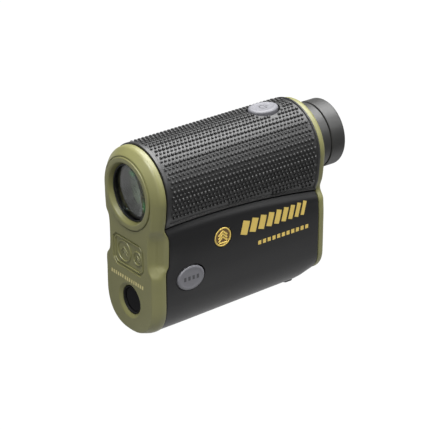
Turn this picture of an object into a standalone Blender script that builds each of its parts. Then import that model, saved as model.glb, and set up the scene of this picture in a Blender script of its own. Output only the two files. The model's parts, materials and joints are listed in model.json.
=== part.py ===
"""Pocket laser rangefinder, built as an assembly of separate pieces.

Frame: +Y points from the objective towards the eye, +Z is up and +X is the
side with the mode button.  The origin is under the middle of the body, level
with the lowest face.  All sizes below are in millimetres, and MM turns them
into metres when a mesh is made.
"""
from math import cos, pi, radians, sin, sqrt

import bmesh
import bpy
import numpy as np
from mathutils import Matrix, Vector

MM = 0.001
GAP = 0.3                 # clearance between neighbouring pieces

# Driving dimensions of the body
RING_CREST_Y = -48.5      # foremost edge of the objective ring
FACE_Y = -48.0            # flat front face
FRONT_SEAM_Y = -42.6      # front bezel meets the body
REAR_SEAM_Y = 31.7        # body meets the rear bezel
REAR_FACE_Y = 34.5        # rear face of the rear bezel
RIM_Y = 48.5              # rim of the eyecup
OPTICAL_Z = 58.3          # axis of the objective and of the upper lobe
EYE_Z = 58.9              # axis of the eyepiece, offset by the prism pair
LASER_Z = 13.1            # axis of the laser port
LOBE_R = 18.0             # radius of the upper lobe
GRIP_PROUD = 0.75         # how far the grip armour stands above the lobe
SEAM_BULGE = 1.0          # rearward swell of the front seam at the side scoop
BOTTOM_RISE = 0.035       # slope of the underside
REAR_RISE = 0.38          # extra slope of the underside at the rear
REAR_RISE_Y = 25.0        # where that slope begins

BEZEL_BACK_Y = -45.0      # inner side of the front wall
FOOT_HALF_WIDTH = 5.4

# Wall build-up, as depths below the body outline
ARMOUR_BACK = 1.4
SHELL_FRONT = 1.7
SHELL_BACK = 3.3
LOWER_WALL = 1.9
BEZEL_WALL = 2.2

# Optics
OBJECTIVE_R = 11.3
CELL_R = 13.0
COLLAR_R = 13.4
COLLAR_INNER_R = 12.4     # the collar inside the body
EYECUP_R = 13.65
SLEEVE_R = 10.4           # outer radius of the diopter sleeve
OCULAR_CELL_R = 9.3
OCULAR_R = 8.3

# Laser and power
LASER_PORT_R = 5.9
LASER_BARREL_R = 6.8
BATTERY_R = 7.8           # CR2 cell
BATTERY_LENGTH = 27.0
BATTERY_Z = 24.5
BATTERY_Y = 1.0           # front end of the cell

# Controls
POWER_Y = 17.3
POWER_SEMI = (5.0, 6.5)   # half width along X, half length along Y
POWER_TOP_Z = 77.3
MODE_Y = -31.5
MODE_Z = 24.9
MODE_SEMI = (6.3, 5.1)    # half length along Y, half height along Z
MODE_FACE_X = 18.1

# Side medallion
MEDALLION_AT = (-16.2, 37.6)   # its y and z
MEDALLION_R = 4.05
MEDALLION_X = 17.35       # underside of the medallion

# Battery door
DOOR_HALF_WIDTH = 9.4
DOOR_BOTTOM_Z = 11.6
DOOR_TOP_Z = 37.6
HINGE_Y = 36.4
HINGE_Z = 11.0
KNUCKLE_R = 1.2
PIN_R = 0.6
PIN_BORE_R = 0.75

# Screws that hold the rear bezel
SCREW_SPOTS = ((-12.4, 39.0), (12.4, 39.0), (-12.3, 15.5), (12.3, 15.5))
SCREW_HEAD_R = 1.7
SCREW_SHANK_R = 0.8
SCREW_SEAT_Y = 33.3       # depth of the counterbore

# Mesh fineness
ARC_STEPS = 11            # steps over the quarter lobe
CORNER_STEPS = 8          # steps over a rounded bottom quarter
ROUND = 30                # sides of a visible turned piece
ROUND_INNER = 18          # sides of a hidden turned piece
PIN_SIDES = 12            # sides of a pin or a screw bore

# Where an outline's two numbers and the distance along the third axis go
PLACE = {"X": lambda a, b, t: (t, a, b),
         "Y": lambda a, b, t: (a, t, b),
         "Z": lambda a, b, t: (a, b, t)}


# ---------------------------------------------------------------- materials
def material(name, colour, roughness, metallic=0.0):
    made = bpy.data.materials.new(name)
    made.use_nodes = True
    made.diffuse_color = (*colour, 1.0)
    shader = made.node_tree.nodes["Principled BSDF"]
    shader.inputs["Base Color"].default_value = (*colour, 1.0)
    shader.inputs["Roughness"].default_value = roughness
    shader.inputs["Metallic"].default_value = metallic
    return made


def make_materials():
    return {
        "olive": material("olive_polymer", (0.150, 0.145, 0.062), 0.50),
        "black": material("black_polymer", (0.022, 0.022, 0.023), 0.48),
        "grip": material("grip_rubber", (0.030, 0.030, 0.031), 0.60),
        "button": material("button_grey", (0.32, 0.32, 0.36), 0.42),
        "gold": material("gold_print", (0.62, 0.44, 0.12), 0.38, 0.75),
        "glass": material("coated_glass", (0.10, 0.13, 0.12), 0.05),
        "laser_glass": material("laser_window", (0.012, 0.010, 0.014), 0.08),
        "prism": material("prism_glass", (0.70, 0.76, 0.78), 0.04),
        "anodised": material("black_anodised", (0.020, 0.020, 0.021), 0.38, 0.6),
        "alloy": material("chassis_alloy", (0.46, 0.47, 0.48), 0.42, 0.9),
        "seal": material("seal_rubber", (0.015, 0.015, 0.015), 0.75),
        "eyecup": material("eyecup_rubber", (0.030, 0.030, 0.031), 0.62),
        "steel": material("plated_steel", (0.55, 0.55, 0.56), 0.30, 1.0),
        "board": material("circuit_board", (0.02, 0.13, 0.06), 0.45),
        "switch": material("switch_body", (0.10, 0.10, 0.11), 0.45),
        "cell": material("battery_wrap", (0.07, 0.10, 0.30), 0.35),
    }


# ------------------------------------------------------------- mesh helpers
def finish_mesh(name, bm, finish, smooth_angle=35.0):
    """Turn a bmesh in millimetres into an object in metres."""
    bmesh.ops.remove_doubles(bm, verts=bm.verts, dist=1e-4)
    bmesh.ops.scale(bm, verts=bm.verts, vec=(MM, MM, MM))
    bmesh.ops.recalc_face_normals(bm, faces=bm.faces)
    mesh = bpy.data.meshes.new(name)
    bm.to_mesh(mesh)
    bm.free()
    mesh.shade_smooth()
    mesh.set_sharp_from_angle(angle=radians(smooth_angle))
    made = bpy.data.objects.new(name, mesh)
    bpy.context.scene.collection.objects.link(made)
    if finish is not None:
        mesh.materials.append(finish)
    return made


def set_origin(piece, point):
    """Move a piece's origin to a point given in millimetres."""
    place = Vector(point) * MM
    piece.data.transform(Matrix.Translation(-place))
    piece.location = place


def as_cutter(piece):
    piece.hide_render = True
    piece.display_type = "WIRE"
    return piece


def boolean(target, tool, operation="DIFFERENCE"):
    modifier = target.modifiers.new(tool.name, "BOOLEAN")
    modifier.operation = operation
    modifier.solver = "EXACT"
    modifier.object = as_cutter(tool)


def turned(name, profile, finish, centre=(0.0, 0.0), steps=ROUND):
    """Spin a closed profile of (radius, y) points round an axis along Y.

    centre is the axis's (x, z).  A profile point of radius 0 is a pole.
    """
    bm = bmesh.new()
    ring = [bm.verts.new((radius, y, 0.0)) for radius, y in profile]
    edges = [bm.edges.new((a, b)) for a, b in zip(ring, ring[1:] + ring[:1])
             if a.co.x > 1e-6 or b.co.x > 1e-6]
    bmesh.ops.spin(bm, geom=ring + edges, cent=(0, 0, 0), axis=(0, 1, 0),
                   angle=2 * pi, steps=steps, use_merge=True)
    bmesh.ops.remove_doubles(bm, verts=bm.verts, dist=1e-4)
    bmesh.ops.translate(bm, verts=bm.verts, vec=(centre[0], 0.0, centre[1]))
    return finish_mesh(name, bm, finish)


def tube(name, inner, outer, y0, y1, finish, centre, steps=ROUND_INNER, chamfer=0.0):
    profile = [(inner, y0), (outer - chamfer, y0), (outer, y0 + chamfer),
               (outer, y1 - chamfer), (outer - chamfer, y1), (inner, y1)]
    if chamfer == 0.0:
        profile = [(inner, y0), (outer, y0), (outer, y1), (inner, y1)]
    return turned(name, profile, finish, centre, steps)


def rod(name, radius, y0, y1, finish, centre, steps=ROUND_INNER):
    return turned(name, [(0.0, y0), (radius, y0), (radius, y1), (0.0, y1)],
                  finish, centre, steps)


def o_ring(name, major, minor, y, finish, centre):
    profile = [(major + minor * cos(a), y + minor * sin(a))
               for a in np.linspace(0.0, 2 * pi, 6, endpoint=False)]
    return turned(name, profile, finish, centre, 24)


def sag(radius, curve_radius):
    """Depth of a spherical surface over a lens of the given radius."""
    return curve_radius - sqrt(curve_radius ** 2 - radius ** 2)


def lens(name, radius, y_front, y_back, front_curve, back_curve, finish, centre):
    """A biconvex lens whose edge runs from y_front to y_back."""
    parts = np.linspace(0.0, 1.0, 4)
    front = [(radius * t, y_front - sag(radius, front_curve) + sag(radius * t, front_curve))
             for t in parts]
    back = [(radius * t, y_back + sag(radius, back_curve) - sag(radius * t, back_curve))
            for t in parts[::-1]]
    return turned(name, front + back, finish, centre, 24)


def extruded(name, outline, low, high, finish, axis="Y"):
    """Extrude a closed outline between two planes across the given axis.

    The outline's two numbers are the remaining coordinates in X, Y, Z order.
    """
    place = PLACE[axis]
    bm = bmesh.new()
    face = bm.faces.new([bm.verts.new(place(a, b, low)) for a, b in outline])
    grown = bmesh.ops.extrude_face_region(bm, geom=[face])["geom"]
    shift = Vector(place(0.0, 0.0, high)) - Vector(place(0.0, 0.0, low))
    bmesh.ops.translate(bm, vec=shift, verts=[v for v in grown
                                              if isinstance(v, bmesh.types.BMVert)])
    return finish_mesh(name, bm, finish)


def block(name, x, y, z, finish):
    outline = [(x[0], z[0]), (x[1], z[0]), (x[1], z[1]), (x[0], z[1])]
    return extruded(name, outline, y[0], y[1], finish)


def ellipse(centre, semi, steps=ROUND):
    return [(centre[0] + semi[0] * cos(a), centre[1] + semi[1] * sin(a))
            for a in np.linspace(0.0, 2 * pi, steps, endpoint=False)]


def rounded_box(half_width, low, high, radius, steps=4):
    """Outline of a rectangle with round corners, centred on X = 0."""
    points = []
    corners = [(half_width - radius, low + radius, -pi / 2),
               (half_width - radius, high - radius, 0.0),
               (radius - half_width, high - radius, pi / 2),
               (radius - half_width, low + radius, pi)]
    for x, z, first in corners:
        points += [(x + radius * cos(a), z + radius * sin(a))
                   for a in np.linspace(first, first + pi / 2, steps + 1)]
    return points


def frame_piece(name, outer, inner, low, high, finish, axis="Y"):
    """A flat ring between two outlines with the same number of points."""
    place = PLACE[axis]
    bm = bmesh.new()
    rings = [[bm.verts.new(place(a, b, t)) for a, b in outline]
             for outline, t in ((outer, low), (outer, high), (inner, high), (inner, low))]
    bridge_rings(bm, rings, closed_path=True, closed_loft=True)
    return finish_mesh(name, bm, finish)


def bridge_rings(bm, rings, closed_path, closed_loft):
    """Quads between each ring of vertices and the next."""
    last = len(rings[0]) if closed_path else len(rings[0]) - 1
    pairs = list(zip(rings, rings[1:]))
    if closed_loft:
        pairs.append((rings[-1], rings[0]))
    for one, two in pairs:
        for i in range(last):
            j = (i + 1) % len(one)
            bm.faces.new((one[i], one[j], two[j], two[i]))


# ------------------------------------------------------------ body outlines
def hermite(z, knots):
    """Smooth value at z through (z, value) knots given from high to low."""
    zs = np.array([k[0] for k in knots][::-1])
    xs = np.array([k[1] for k in knots][::-1])
    slope = np.gradient(xs, zs)
    i = int(np.clip(np.searchsorted(zs, z) - 1, 0, len(zs) - 2))
    h = zs[i + 1] - zs[i]
    t = min(max((z - zs[i]) / h, 0.0), 1.0)
    return ((2 * t ** 3 - 3 * t ** 2 + 1) * xs[i] + (t ** 3 - 2 * t ** 2 + t) * h * slope[i]
            + (3 * t ** 2 - 2 * t ** 3) * xs[i + 1] + (t ** 3 - t ** 2) * h * slope[i + 1])


def waist_z(y):
    """Height of the groove between the grip and the lower body."""
    return 48.2 - 0.00147 * (y + 28.0) ** 2


def bottom_z(y):
    """Height of the underside: a gentle rise, then a steeper one at the rear."""
    gentle = BOTTOM_RISE * max(y - FRONT_SEAM_Y, 0.0)
    return gentle + REAR_RISE * max(y - REAR_RISE_Y, 0.0)


def side_knots(y):
    """Half width of the body against height, from the lobe's centre down."""
    rear = (y - FRONT_SEAM_Y) / (REAR_SEAM_Y - FRONT_SEAM_Y)
    swell = min(max((y - FRONT_SEAM_Y) / 9.0, 0.0), 1.0)
    waist = waist_z(y)
    waist_x = 16.2 - 0.6 * rear
    return [(OPTICAL_Z, LOBE_R),
            (waist + 5.0, 17.3 - 0.5 * rear),
            (waist, waist_x),
            (waist - 2.6, 17.2 + 0.1 * swell),
            (waist - 6.0, 17.75),
            (27.0, 16.9 + 0.85 * swell + 0.1 * rear),
            (17.5, 16.8 + 0.3 * swell + 0.6 * rear)]


def corner_path(half_width, top, bottom, power=2.4):
    """Rounded lower quarter from the side down to the middle of the bottom."""
    points = []
    for a in np.linspace(0.0, pi / 2, CORNER_STEPS + 1)[1:]:
        x = half_width * max(cos(a), 0.0) ** (2 / power)
        z = top - (top - bottom) * sin(a) ** (2 / power)
        points.append((x, z))
    points[-1] = (0.0, bottom)
    return points


def half_path(knots, lobe_r, levels, bottom):
    """Half outline from the top of the lobe to the middle of the bottom."""
    arc = [(lobe_r * sin(a), OPTICAL_Z + lobe_r * cos(a))
           for a in np.linspace(0.0, pi / 2, ARC_STEPS + 1)]
    arc[0] = (0.0, arc[0][1])
    side = [(hermite(z, knots), z) for z in levels]
    return arc + side + corner_path(hermite(knots[-1][0], knots), knots[-1][0], bottom)


def offset_path(path, depth):
    """Move an outline inwards; a point on the middle plane stays on it."""
    points = [Vector(p) for p in path]
    moved = []
    for i, point in enumerate(points):
        before = points[max(i - 1, 0)]
        after = points[min(i + 1, len(points) - 1)]
        along = (after - before).normalized()
        moved.append((point.x + along.y * depth, point.y - along.x * depth))
    return [(0.0 if p[0] == 0.0 else q[0], q[1]) for p, q in zip(path, moved)]


def mirror_path(path):
    """Close a half outline from the top centre round both sides."""
    return path + [(-x, z) for x, z in path[-2:0:-1]]


def body_levels(y):
    waist = waist_z(y)
    return [waist + 7.0, waist + 3.5, waist + 1.2, waist, waist - 1.3, waist - 2.6,
            waist - 6.0, 34.0, 27.0, 22.0, 17.5]


UPPER_POINTS = ARC_STEPS + 1 + 4      # lobe and flank, down to the waist


def body_path(y):
    return half_path(side_knots(y), LOBE_R, body_levels(y), bottom_z(y))


def stepped_path(y, upper_depth, lower_depth, drop):
    """Shell outline: recessed under the grip, full width below the waist."""
    path = body_path(y)
    upper = offset_path(path[:UPPER_POINTS], upper_depth)
    lower = offset_path(path[UPPER_POINTS - 1:], lower_depth)
    waist = path[UPPER_POINTS - 1][1]
    upper = [(x, max(z, waist - drop)) for x, z in upper]
    lower = [(x, min(z, waist - drop - GAP)) for x, z in lower]
    return upper + lower


def seam_shift(z):
    """Rearward swell of the front seam beside the scoop."""
    rise = min(max((z - 29.0) / 4.0, 0.0), 1.0)
    fall = min(max((47.5 - z) / 4.0, 0.0), 1.0)
    ease = min(rise, fall)
    return SEAM_BULGE * ease * ease * (3.0 - 2.0 * ease)


BODY_STATIONS = (FRONT_SEAM_Y + GAP, -39.5, -33.0, -22.0, -8.0, 6.0, 18.0, 26.0,
                 REAR_SEAM_Y - GAP)


def placed(path, y, front_share):
    """Outline points in space, with the front seam's swell faded in."""
    return [(x, y + seam_shift(z) * front_share, z) for x, z in path]


def front_share(y):
    return max(0.0, 1.0 - (y - BODY_STATIONS[0]) / 8.0)


# -------------------------------------------------------------- outer shells
def loft_shell(name, stations, finish, closed_path):
    """A wall between outer and inner outlines, lofted along Y."""
    bm = bmesh.new()
    outer = [[bm.verts.new(p) for p in pair[0]] for pair in stations]
    inner = [[bm.verts.new(p) for p in pair[1]] for pair in stations]
    loop = outer + inner[::-1]
    bridge_rings(bm, loop, closed_path, closed_loft=True)
    if not closed_path:
        for end in (0, -1):
            for i in range(len(stations) - 1):
                bm.faces.new((outer[i][end], outer[i + 1][end],
                              inner[i + 1][end], inner[i][end]))
    return finish_mesh(name, bm, finish)


def make_housing(name, side, finish):
    """One half shell; side is +1 for +X and -1 for -X."""
    stations = []
    for y in BODY_STATIONS:
        share = front_share(y)
        pair = []
        for upper, lower, drop in ((SHELL_FRONT, 0.0, 0.0), (SHELL_BACK, LOWER_WALL, 2.0)):
            path = stepped_path(y, upper, lower, drop)
            path = [(side * max(x, GAP / 2), z) for x, z in path]
            pair.append(placed(path, y, share))
        stations.append(pair)
    return loft_shell(name, stations, finish, closed_path=False)


def make_grip(finish):
    """Armour sleeve over the upper lobe, open below."""
    stations = []
    for i, y in enumerate(BODY_STATIONS):
        upper = body_path(y)[:UPPER_POINTS]
        edge = -0.35 if i in (0, len(BODY_STATIONS) - 1) else -GRIP_PROUD
        pair = []
        for depth in (edge, ARMOUR_BACK):
            path = offset_path(upper, depth)
            low = waist_z(y) + GAP
            path = [(x, max(z, low)) for x, z in path]
            if depth < 0:
                path[-1] = (path[-1][0] + 0.5 * depth, path[-1][1])
            full = [(-x, z) for x, z in path[:0:-1]] + path
            pair.append(placed(full, y, front_share(y)))
        stations.append(pair)
    return loft_shell("grip_armor", stations, finish, closed_path=False)


# Half width of the front bezel against height, one list for each depth.
BEZEL_LEVELS = (51.5, 47.3, 45.2, 43.0, 37.5, 32.0, 30.3, 28.3, 22.0, 16.0)
BEZEL_STATIONS = (
    (FACE_Y, 14.9, 0.6, (14.8, 14.2, 13.2, 12.5, 12.3, 12.5, 13.2, 14.3, 14.7, 14.7)),
    (-46.2, 16.6, 0.25, (16.1, 15.3, 13.9, 13.1, 13.0, 13.2, 14.2, 15.6, 16.0, 16.0)),
    (-44.7, 17.8, 0.0, (17.2, 16.2, 15.2, 14.5, 14.4, 14.6, 15.8, 16.6, 16.8, 16.8)),
    (-43.5, 18.0, 0.0, (17.3, 16.3, 16.3, 15.9, 15.6, 15.7, 16.6, 16.8, 16.9, 16.9)),
    (FRONT_SEAM_Y, 18.0, 0.0, (17.3, 16.4, 17.2, 17.7, 17.7, 17.4, 17.0, 16.9, 16.9, 16.9)),
)


def bezel_path(station):
    _, lobe_r, bottom, widths = station
    knots = [(OPTICAL_Z, lobe_r)] + list(zip(BEZEL_LEVELS, widths))
    return half_path(knots, lobe_r, BEZEL_LEVELS, bottom)


def make_front_bezel(finish):
    """Front cap with the raised objective ring, laser port and side scoops."""
    bm = bmesh.new()
    rings = []
    for station in BEZEL_STATIONS:
        outline = mirror_path(bezel_path(station))
        share = 0.0 if station[0] < -45.0 else (station[0] - BEZEL_STATIONS[1][0]) / 3.6
        rings.append([bm.verts.new(p) for p in placed(outline, station[0], share)])
    cavity = ((FRONT_SEAM_Y, BEZEL_STATIONS[-1], BEZEL_WALL, 1.0),
              (BEZEL_BACK_Y, BEZEL_STATIONS[1], BEZEL_WALL / 2, 0.0))
    for y, station, depth, share in cavity:
        outline = mirror_path(offset_path(bezel_path(station), depth))
        rings.append([bm.verts.new(p) for p in placed(outline, y, share)])
    bridge_rings(bm, rings, closed_path=True, closed_loft=False)
    bm.faces.new(rings[0])
    bm.faces.new(rings[-1])
    bezel = finish_mesh("front_bezel", bm, finish)

    boolean(bezel, rod("mouth_cut", 13.9, RING_CREST_Y - 1.0, -43.0, None,
                       (0.0, OPTICAL_Z), ROUND + 16))
    port = [(0.0, FACE_Y - 0.6), (8.4, FACE_Y - 0.6), (LASER_PORT_R, FACE_Y + 0.9),
            (LASER_PORT_R, -43.0), (0.0, -43.0)]
    boolean(bezel, turned("port_cut", port, None, (0.0, LASER_Z), ROUND))
    crest = [(11.6, -45.3), (14.45, -45.3), (14.45, -48.1), (14.1, RING_CREST_Y + 0.1),
             (13.75, RING_CREST_Y), (13.35, RING_CREST_Y), (11.7, -46.4)]
    boolean(bezel, turned("ring_add", crest, None, (0.0, OPTICAL_Z), ROUND + 16), "UNION")
    return bezel


REAR_STATIONS = ((REAR_SEAM_Y, 0.0), (33.2, 0.0), (34.2, 0.3), (REAR_FACE_Y, 0.9))
REAR_WALL_Y = 32.4        # inner face of the rear wall
KNUCKLE_SPANS = ((-8.0, -4.0), (4.0, 8.0))


def knuckle_outline():
    """Hinge barrel with a web that runs forward into the wall."""
    barrel = [(HINGE_Y + KNUCKLE_R * cos(a), HINGE_Z + KNUCKLE_R * sin(a))
              for a in np.linspace(-pi / 2, pi / 2, 9)]
    wall_y = REAR_FACE_Y - 0.6
    return barrel + [(wall_y, HINGE_Z - GAP), (wall_y, HINGE_Z - KNUCKLE_R)]


def make_rear_bezel(finish):
    """Rear band with its wall, eyepiece opening, door opening and knuckles."""
    bm = bmesh.new()
    base = body_path(REAR_SEAM_Y)
    rings = []
    for y, depth in ((REAR_WALL_Y, BEZEL_WALL), (REAR_SEAM_Y, BEZEL_WALL)) + REAR_STATIONS:
        outline = mirror_path(offset_path(base, depth))
        rings.append([bm.verts.new((x, y, z)) for x, z in outline])
    bridge_rings(bm, rings, closed_path=True, closed_loft=False)
    bm.faces.new(rings[0])
    bm.faces.new(rings[-1])
    bezel = finish_mesh("rear_bezel", bm, finish)
    hole = rod("eyepiece_cut", COLLAR_R + GAP, 31.0, 36.0, None, (0.0, EYE_Z), ROUND)
    boolean(bezel, hole)
    opening = rounded_box(DOOR_HALF_WIDTH + GAP, DOOR_BOTTOM_Z - GAP, DOOR_TOP_Z + GAP, 4.0)
    boolean(bezel, extruded("door_cut", opening, 31.0, 36.0, None))
    for number, (x0, x1) in enumerate(KNUCKLE_SPANS):
        lug = extruded(f"knuckle_add_{number}", knuckle_outline(), x0, x1, None, "X")
        boolean(bezel, lug, "UNION")
    bore = extruded("pin_cut", ellipse((HINGE_Y, HINGE_Z), (PIN_BORE_R,) * 2, PIN_SIDES),
                    -9.0, 9.0, None, "X")
    boolean(bezel, bore)
    for number, spot in enumerate(SCREW_SPOTS):
        bore_r = SCREW_SHANK_R + GAP
        head_r = SCREW_HEAD_R + GAP
        profile = [(0.0, 31.0), (bore_r, 31.0), (bore_r, SCREW_SEAT_Y),
                   (head_r, SCREW_SEAT_Y), (head_r, 36.0), (0.0, 36.0)]
        boolean(bezel, turned(f"screw_cut_{number}", profile, None, spot, PIN_SIDES))
    return bezel


def make_rear_foot(finish):
    """Wedge-shaped pad under the rear that sets the body level with the front."""
    side = [(21.0, 1.55), (21.6, 1.25), (25.2, 0.0), (28.3, 0.0), (28.9, 0.6), (29.2, 1.7)]
    side += [(y, bottom_z(y) - GAP) for y in (29.2, REAR_RISE_Y, 21.0)]
    foot = extruded("rear_foot", side, -FOOT_HALF_WIDTH, FOOT_HALF_WIDTH, finish, "X")
    bevel = foot.modifiers.new("edges", "BEVEL")
    bevel.width = 0.4 * MM
    bevel.segments = 2
    bevel.angle_limit = radians(50.0)
    return foot


# ------------------------------------------------------------------ controls
def oval_prism(name, centre, semi, levels, finish, axis):
    """Stack of ellipses: each level is (distance along axis, inset)."""
    place = PLACE[axis]
    bm = bmesh.new()
    rings = []
    for along, inset in levels:
        outline = ellipse(centre, (semi[0] - inset, semi[1] - inset))
        rings.append([bm.verts.new(place(a, b, along)) for a, b in outline])
    bridge_rings(bm, rings, closed_path=True, closed_loft=False)
    bm.faces.new(rings[0])
    bm.faces.new(rings[-1])
    return finish_mesh(name, bm, finish)


def make_power_button(finish):
    levels = ((69.6, 0.0), (POWER_TOP_Z - 0.9, 0.0), (POWER_TOP_Z - 0.25, 0.45),
              (POWER_TOP_Z, 1.5))
    button = oval_prism("power_button", (0.0, POWER_Y), POWER_SEMI, levels, finish, "Z")
    set_origin(button, (0.0, POWER_Y, 69.6))
    return button


def make_mode_button(finish):
    levels = ((13.6, 0.0), (MODE_FACE_X - 0.7, 0.0), (MODE_FACE_X - 0.2, 0.4),
              (MODE_FACE_X, 1.3))
    button = oval_prism("mode_button", (MODE_Y, MODE_Z), MODE_SEMI, levels, finish, "X")
    set_origin(button, (13.6, MODE_Y, MODE_Z))
    return button


def grown(semi, extra):
    return (semi[0] + extra, semi[1] + extra)


def make_controls(m):
    """Buttons, their seals, switches and switch boards."""
    power_at = (0.0, POWER_Y)
    mode_at = (MODE_Y, MODE_Z)
    make_power_button(m["button"])
    frame_piece("power_button_seal", ellipse(power_at, grown(POWER_SEMI, 1.4)),
                ellipse(power_at, grown(POWER_SEMI, GAP)), 69.4, 70.6, m["seal"], "Z")
    block("power_switch", (-2.4, 2.4), (POWER_Y - 2.4, POWER_Y + 2.4), (66.9, 68.4), m["switch"])
    block("power_switch_board", (-5.5, 5.5), (11.0, 24.0), (65.6, 66.6), m["board"])
    make_mode_button(m["button"])
    frame_piece("mode_button_seal", ellipse(mode_at, grown(MODE_SEMI, 1.3)),
                ellipse(mode_at, grown(MODE_SEMI, GAP)), 13.3, 14.5, m["seal"], "X")
    block("mode_switch", (10.9, 12.6), (MODE_Y - 2.4, MODE_Y + 2.4),
          (MODE_Z - 2.4, MODE_Z + 2.4), m["switch"])
    block("mode_switch_board", (9.6, 10.6), (MODE_Y - 5.0, MODE_Y + 6.0),
          (MODE_Z - 5.0, MODE_Z + 6.0), m["board"])


def cut_button_holes(housings, grip):
    """Openings for both buttons and the seat of the medallion."""
    tall = oval_prism("power_hole_cut", (0.0, POWER_Y), grown(POWER_SEMI, GAP),
                      ((70.8, 0.0), (80.0, 0.0)), None, "Z")
    for target in (*housings, grip):
        boolean(target, tall)
    wide = oval_prism("mode_hole_cut", (MODE_Y, MODE_Z), grown(MODE_SEMI, GAP),
                      ((14.8, 0.0), (20.0, 0.0)), None, "X")
    boolean(housings[0], wide)
    seat = oval_prism("medallion_seat_cut", MEDALLION_AT, (MEDALLION_R + GAP,) * 2,
                      ((MEDALLION_X - 0.7, 0.0), (20.0, 0.0)), None, "X")
    boolean(housings[0], seat)


def make_medallion(finish):
    levels = ((MEDALLION_X - 0.4, 0.0), (17.75, 0.0), (17.9, 0.15))
    return oval_prism("side_medallion", MEDALLION_AT, (MEDALLION_R,) * 2, levels, finish, "X")


# -------------------------------------------------------------------- optics
def make_objective(m):
    axis = (0.0, OPTICAL_Z)
    tube("objective_retainer", 10.8, OBJECTIVE_R, -46.6, -45.8, m["anodised"], axis, ROUND, 0.2)
    lens("objective_lens_front", OBJECTIVE_R, -45.5, -42.1, 120.0, 70.0, m["glass"], axis)
    lens("objective_lens_rear", OBJECTIVE_R, -39.7, -37.3, 120.0, 200.0, m["glass"], axis)
    tube("objective_cell", OBJECTIVE_R + GAP, CELL_R, -44.7, -22.0, m["anodised"], axis)
    o_ring("objective_seal", CELL_R + 0.95, 0.6, -43.6, m["seal"], axis)


def prism_block(name, outline, half_width, finish):
    return extruded(name, outline, -half_width, half_width, finish, "X")


def make_prisms(m):
    """Erecting prism pair in its tray, behind the objective cell."""
    floor = OPTICAL_Z - 10.0
    tray = block("prism_holder", (-10.0, 10.0), (-19.0, 8.0), (floor, floor + 16.5), m["alloy"])
    boolean(tray, block("tray_cut", (-8.1, 8.1), (-20.0, 9.0), (floor + 1.6, 80.0), None))
    low = floor + 1.9
    top = OPTICAL_Z + 8.0
    prism_block("half_penta_prism", [(-18.0, low), (-10.0, low), (-4.4, top), (-18.0, top)],
                7.8, m["prism"])
    prism_block("roof_prism", [(-9.4, low), (6.5, low), (6.5, top), (-3.8, top)],
                7.8, m["prism"])
    extruded("display_plate", rounded_box(7.5, OPTICAL_Z - 7.5, OPTICAL_Z + 6.5, 1.0),
             9.2, 10.4, m["glass"])


def make_eyepiece(m):
    """Fixed collar, turning focus ring with its rubber cup, sliding cell."""
    axis = (0.0, EYE_Z)
    collar = [(SLEEVE_R + GAP, 27.0), (COLLAR_INNER_R, 27.0), (COLLAR_INNER_R, 31.6),
              (COLLAR_R, 31.8), (COLLAR_R, 40.9),
              (COLLAR_R - 0.3, 41.2), (SLEEVE_R + GAP, 41.2)]
    turned("eyepiece_collar", collar, m["eyecup"], axis, ROUND + 8)
    o_ring("eyepiece_seal", COLLAR_INNER_R + 0.8, 0.45, 28.4, m["seal"], axis)
    ring = [(OCULAR_CELL_R + GAP, 28.5), (SLEEVE_R, 28.5), (SLEEVE_R, 41.5), (12.5, 41.5),
            (12.5, 46.2), (OCULAR_CELL_R + GAP, 46.2)]
    turned("diopter_ring", ring, m["anodised"], axis)
    cup = [(12.8, 41.5), (EYECUP_R - 0.3, 41.5), (EYECUP_R, 41.9), (EYECUP_R, RIM_Y - 0.7),
           (EYECUP_R - 0.7, RIM_Y), (10.8, RIM_Y), (10.3, 47.9), (10.1, 46.5), (12.8, 46.5)]
    turned("eyecup", cup, m["eyecup"], axis, ROUND + 8)
    tube("ocular_cell", OCULAR_R + GAP, OCULAR_CELL_R, 29.6, 42.0, m["anodised"], axis)
    lens("ocular_lens_field", OCULAR_R, 31.2, 33.2, 60.0, 26.0, m["glass"], axis)
    lens("ocular_lens_eye", OCULAR_R, 36.6, 38.4, 40.0, 34.0, m["glass"], axis)
    tube("ocular_retainer", OCULAR_R - 1.0, OCULAR_R, 38.9, 40.3, m["anodised"], axis, ROUND)


# --------------------------------------------------------- laser, electronics
def make_laser(m):
    axis = (0.0, LASER_Z)
    rod("laser_window", 4.8, -46.3, -45.1, m["laser_glass"], axis, ROUND)
    tube("laser_window_seal", 5.1, LASER_PORT_R - GAP, -47.0, -44.6, m["seal"], axis)
    tube("laser_barrel", 5.7, LASER_BARREL_R, -42.8, -20.0, m["anodised"], axis)
    lens("laser_lens", 5.4, -39.0, -37.0, 30.0, 60.0, m["glass"], axis)
    rod("laser_diode", 4.5, -26.0, -21.0, m["steel"], axis)
    receiver = ellipse((0.0, -8.0), (4.4, 4.4), ROUND_INNER)
    extruded("receiver_module", receiver, 38.0, 45.4, m["steel"], "Z")


def make_boards(m):
    outline = [(-36.0, 22.0), (-24.0, 11.0), (24.0, 11.0), (24.0, 41.0), (-36.0, 41.0)]
    extruded("main_circuit_board", outline, -13.0, -11.8, m["board"], "X")
    plate = [(-11.5, -19.5), (11.5, -19.5), (11.5, 26.0), (-11.5, 26.0)]
    chassis = extruded("optics_chassis", plate, 46.2, 48.0, m["alloy"], "Z")
    window = ellipse((0.0, -8.0), (3.4, 3.4), 16)
    boolean(chassis, extruded("receiver_window_cut", window, 45.0, 49.0, None, "Z"))


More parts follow.
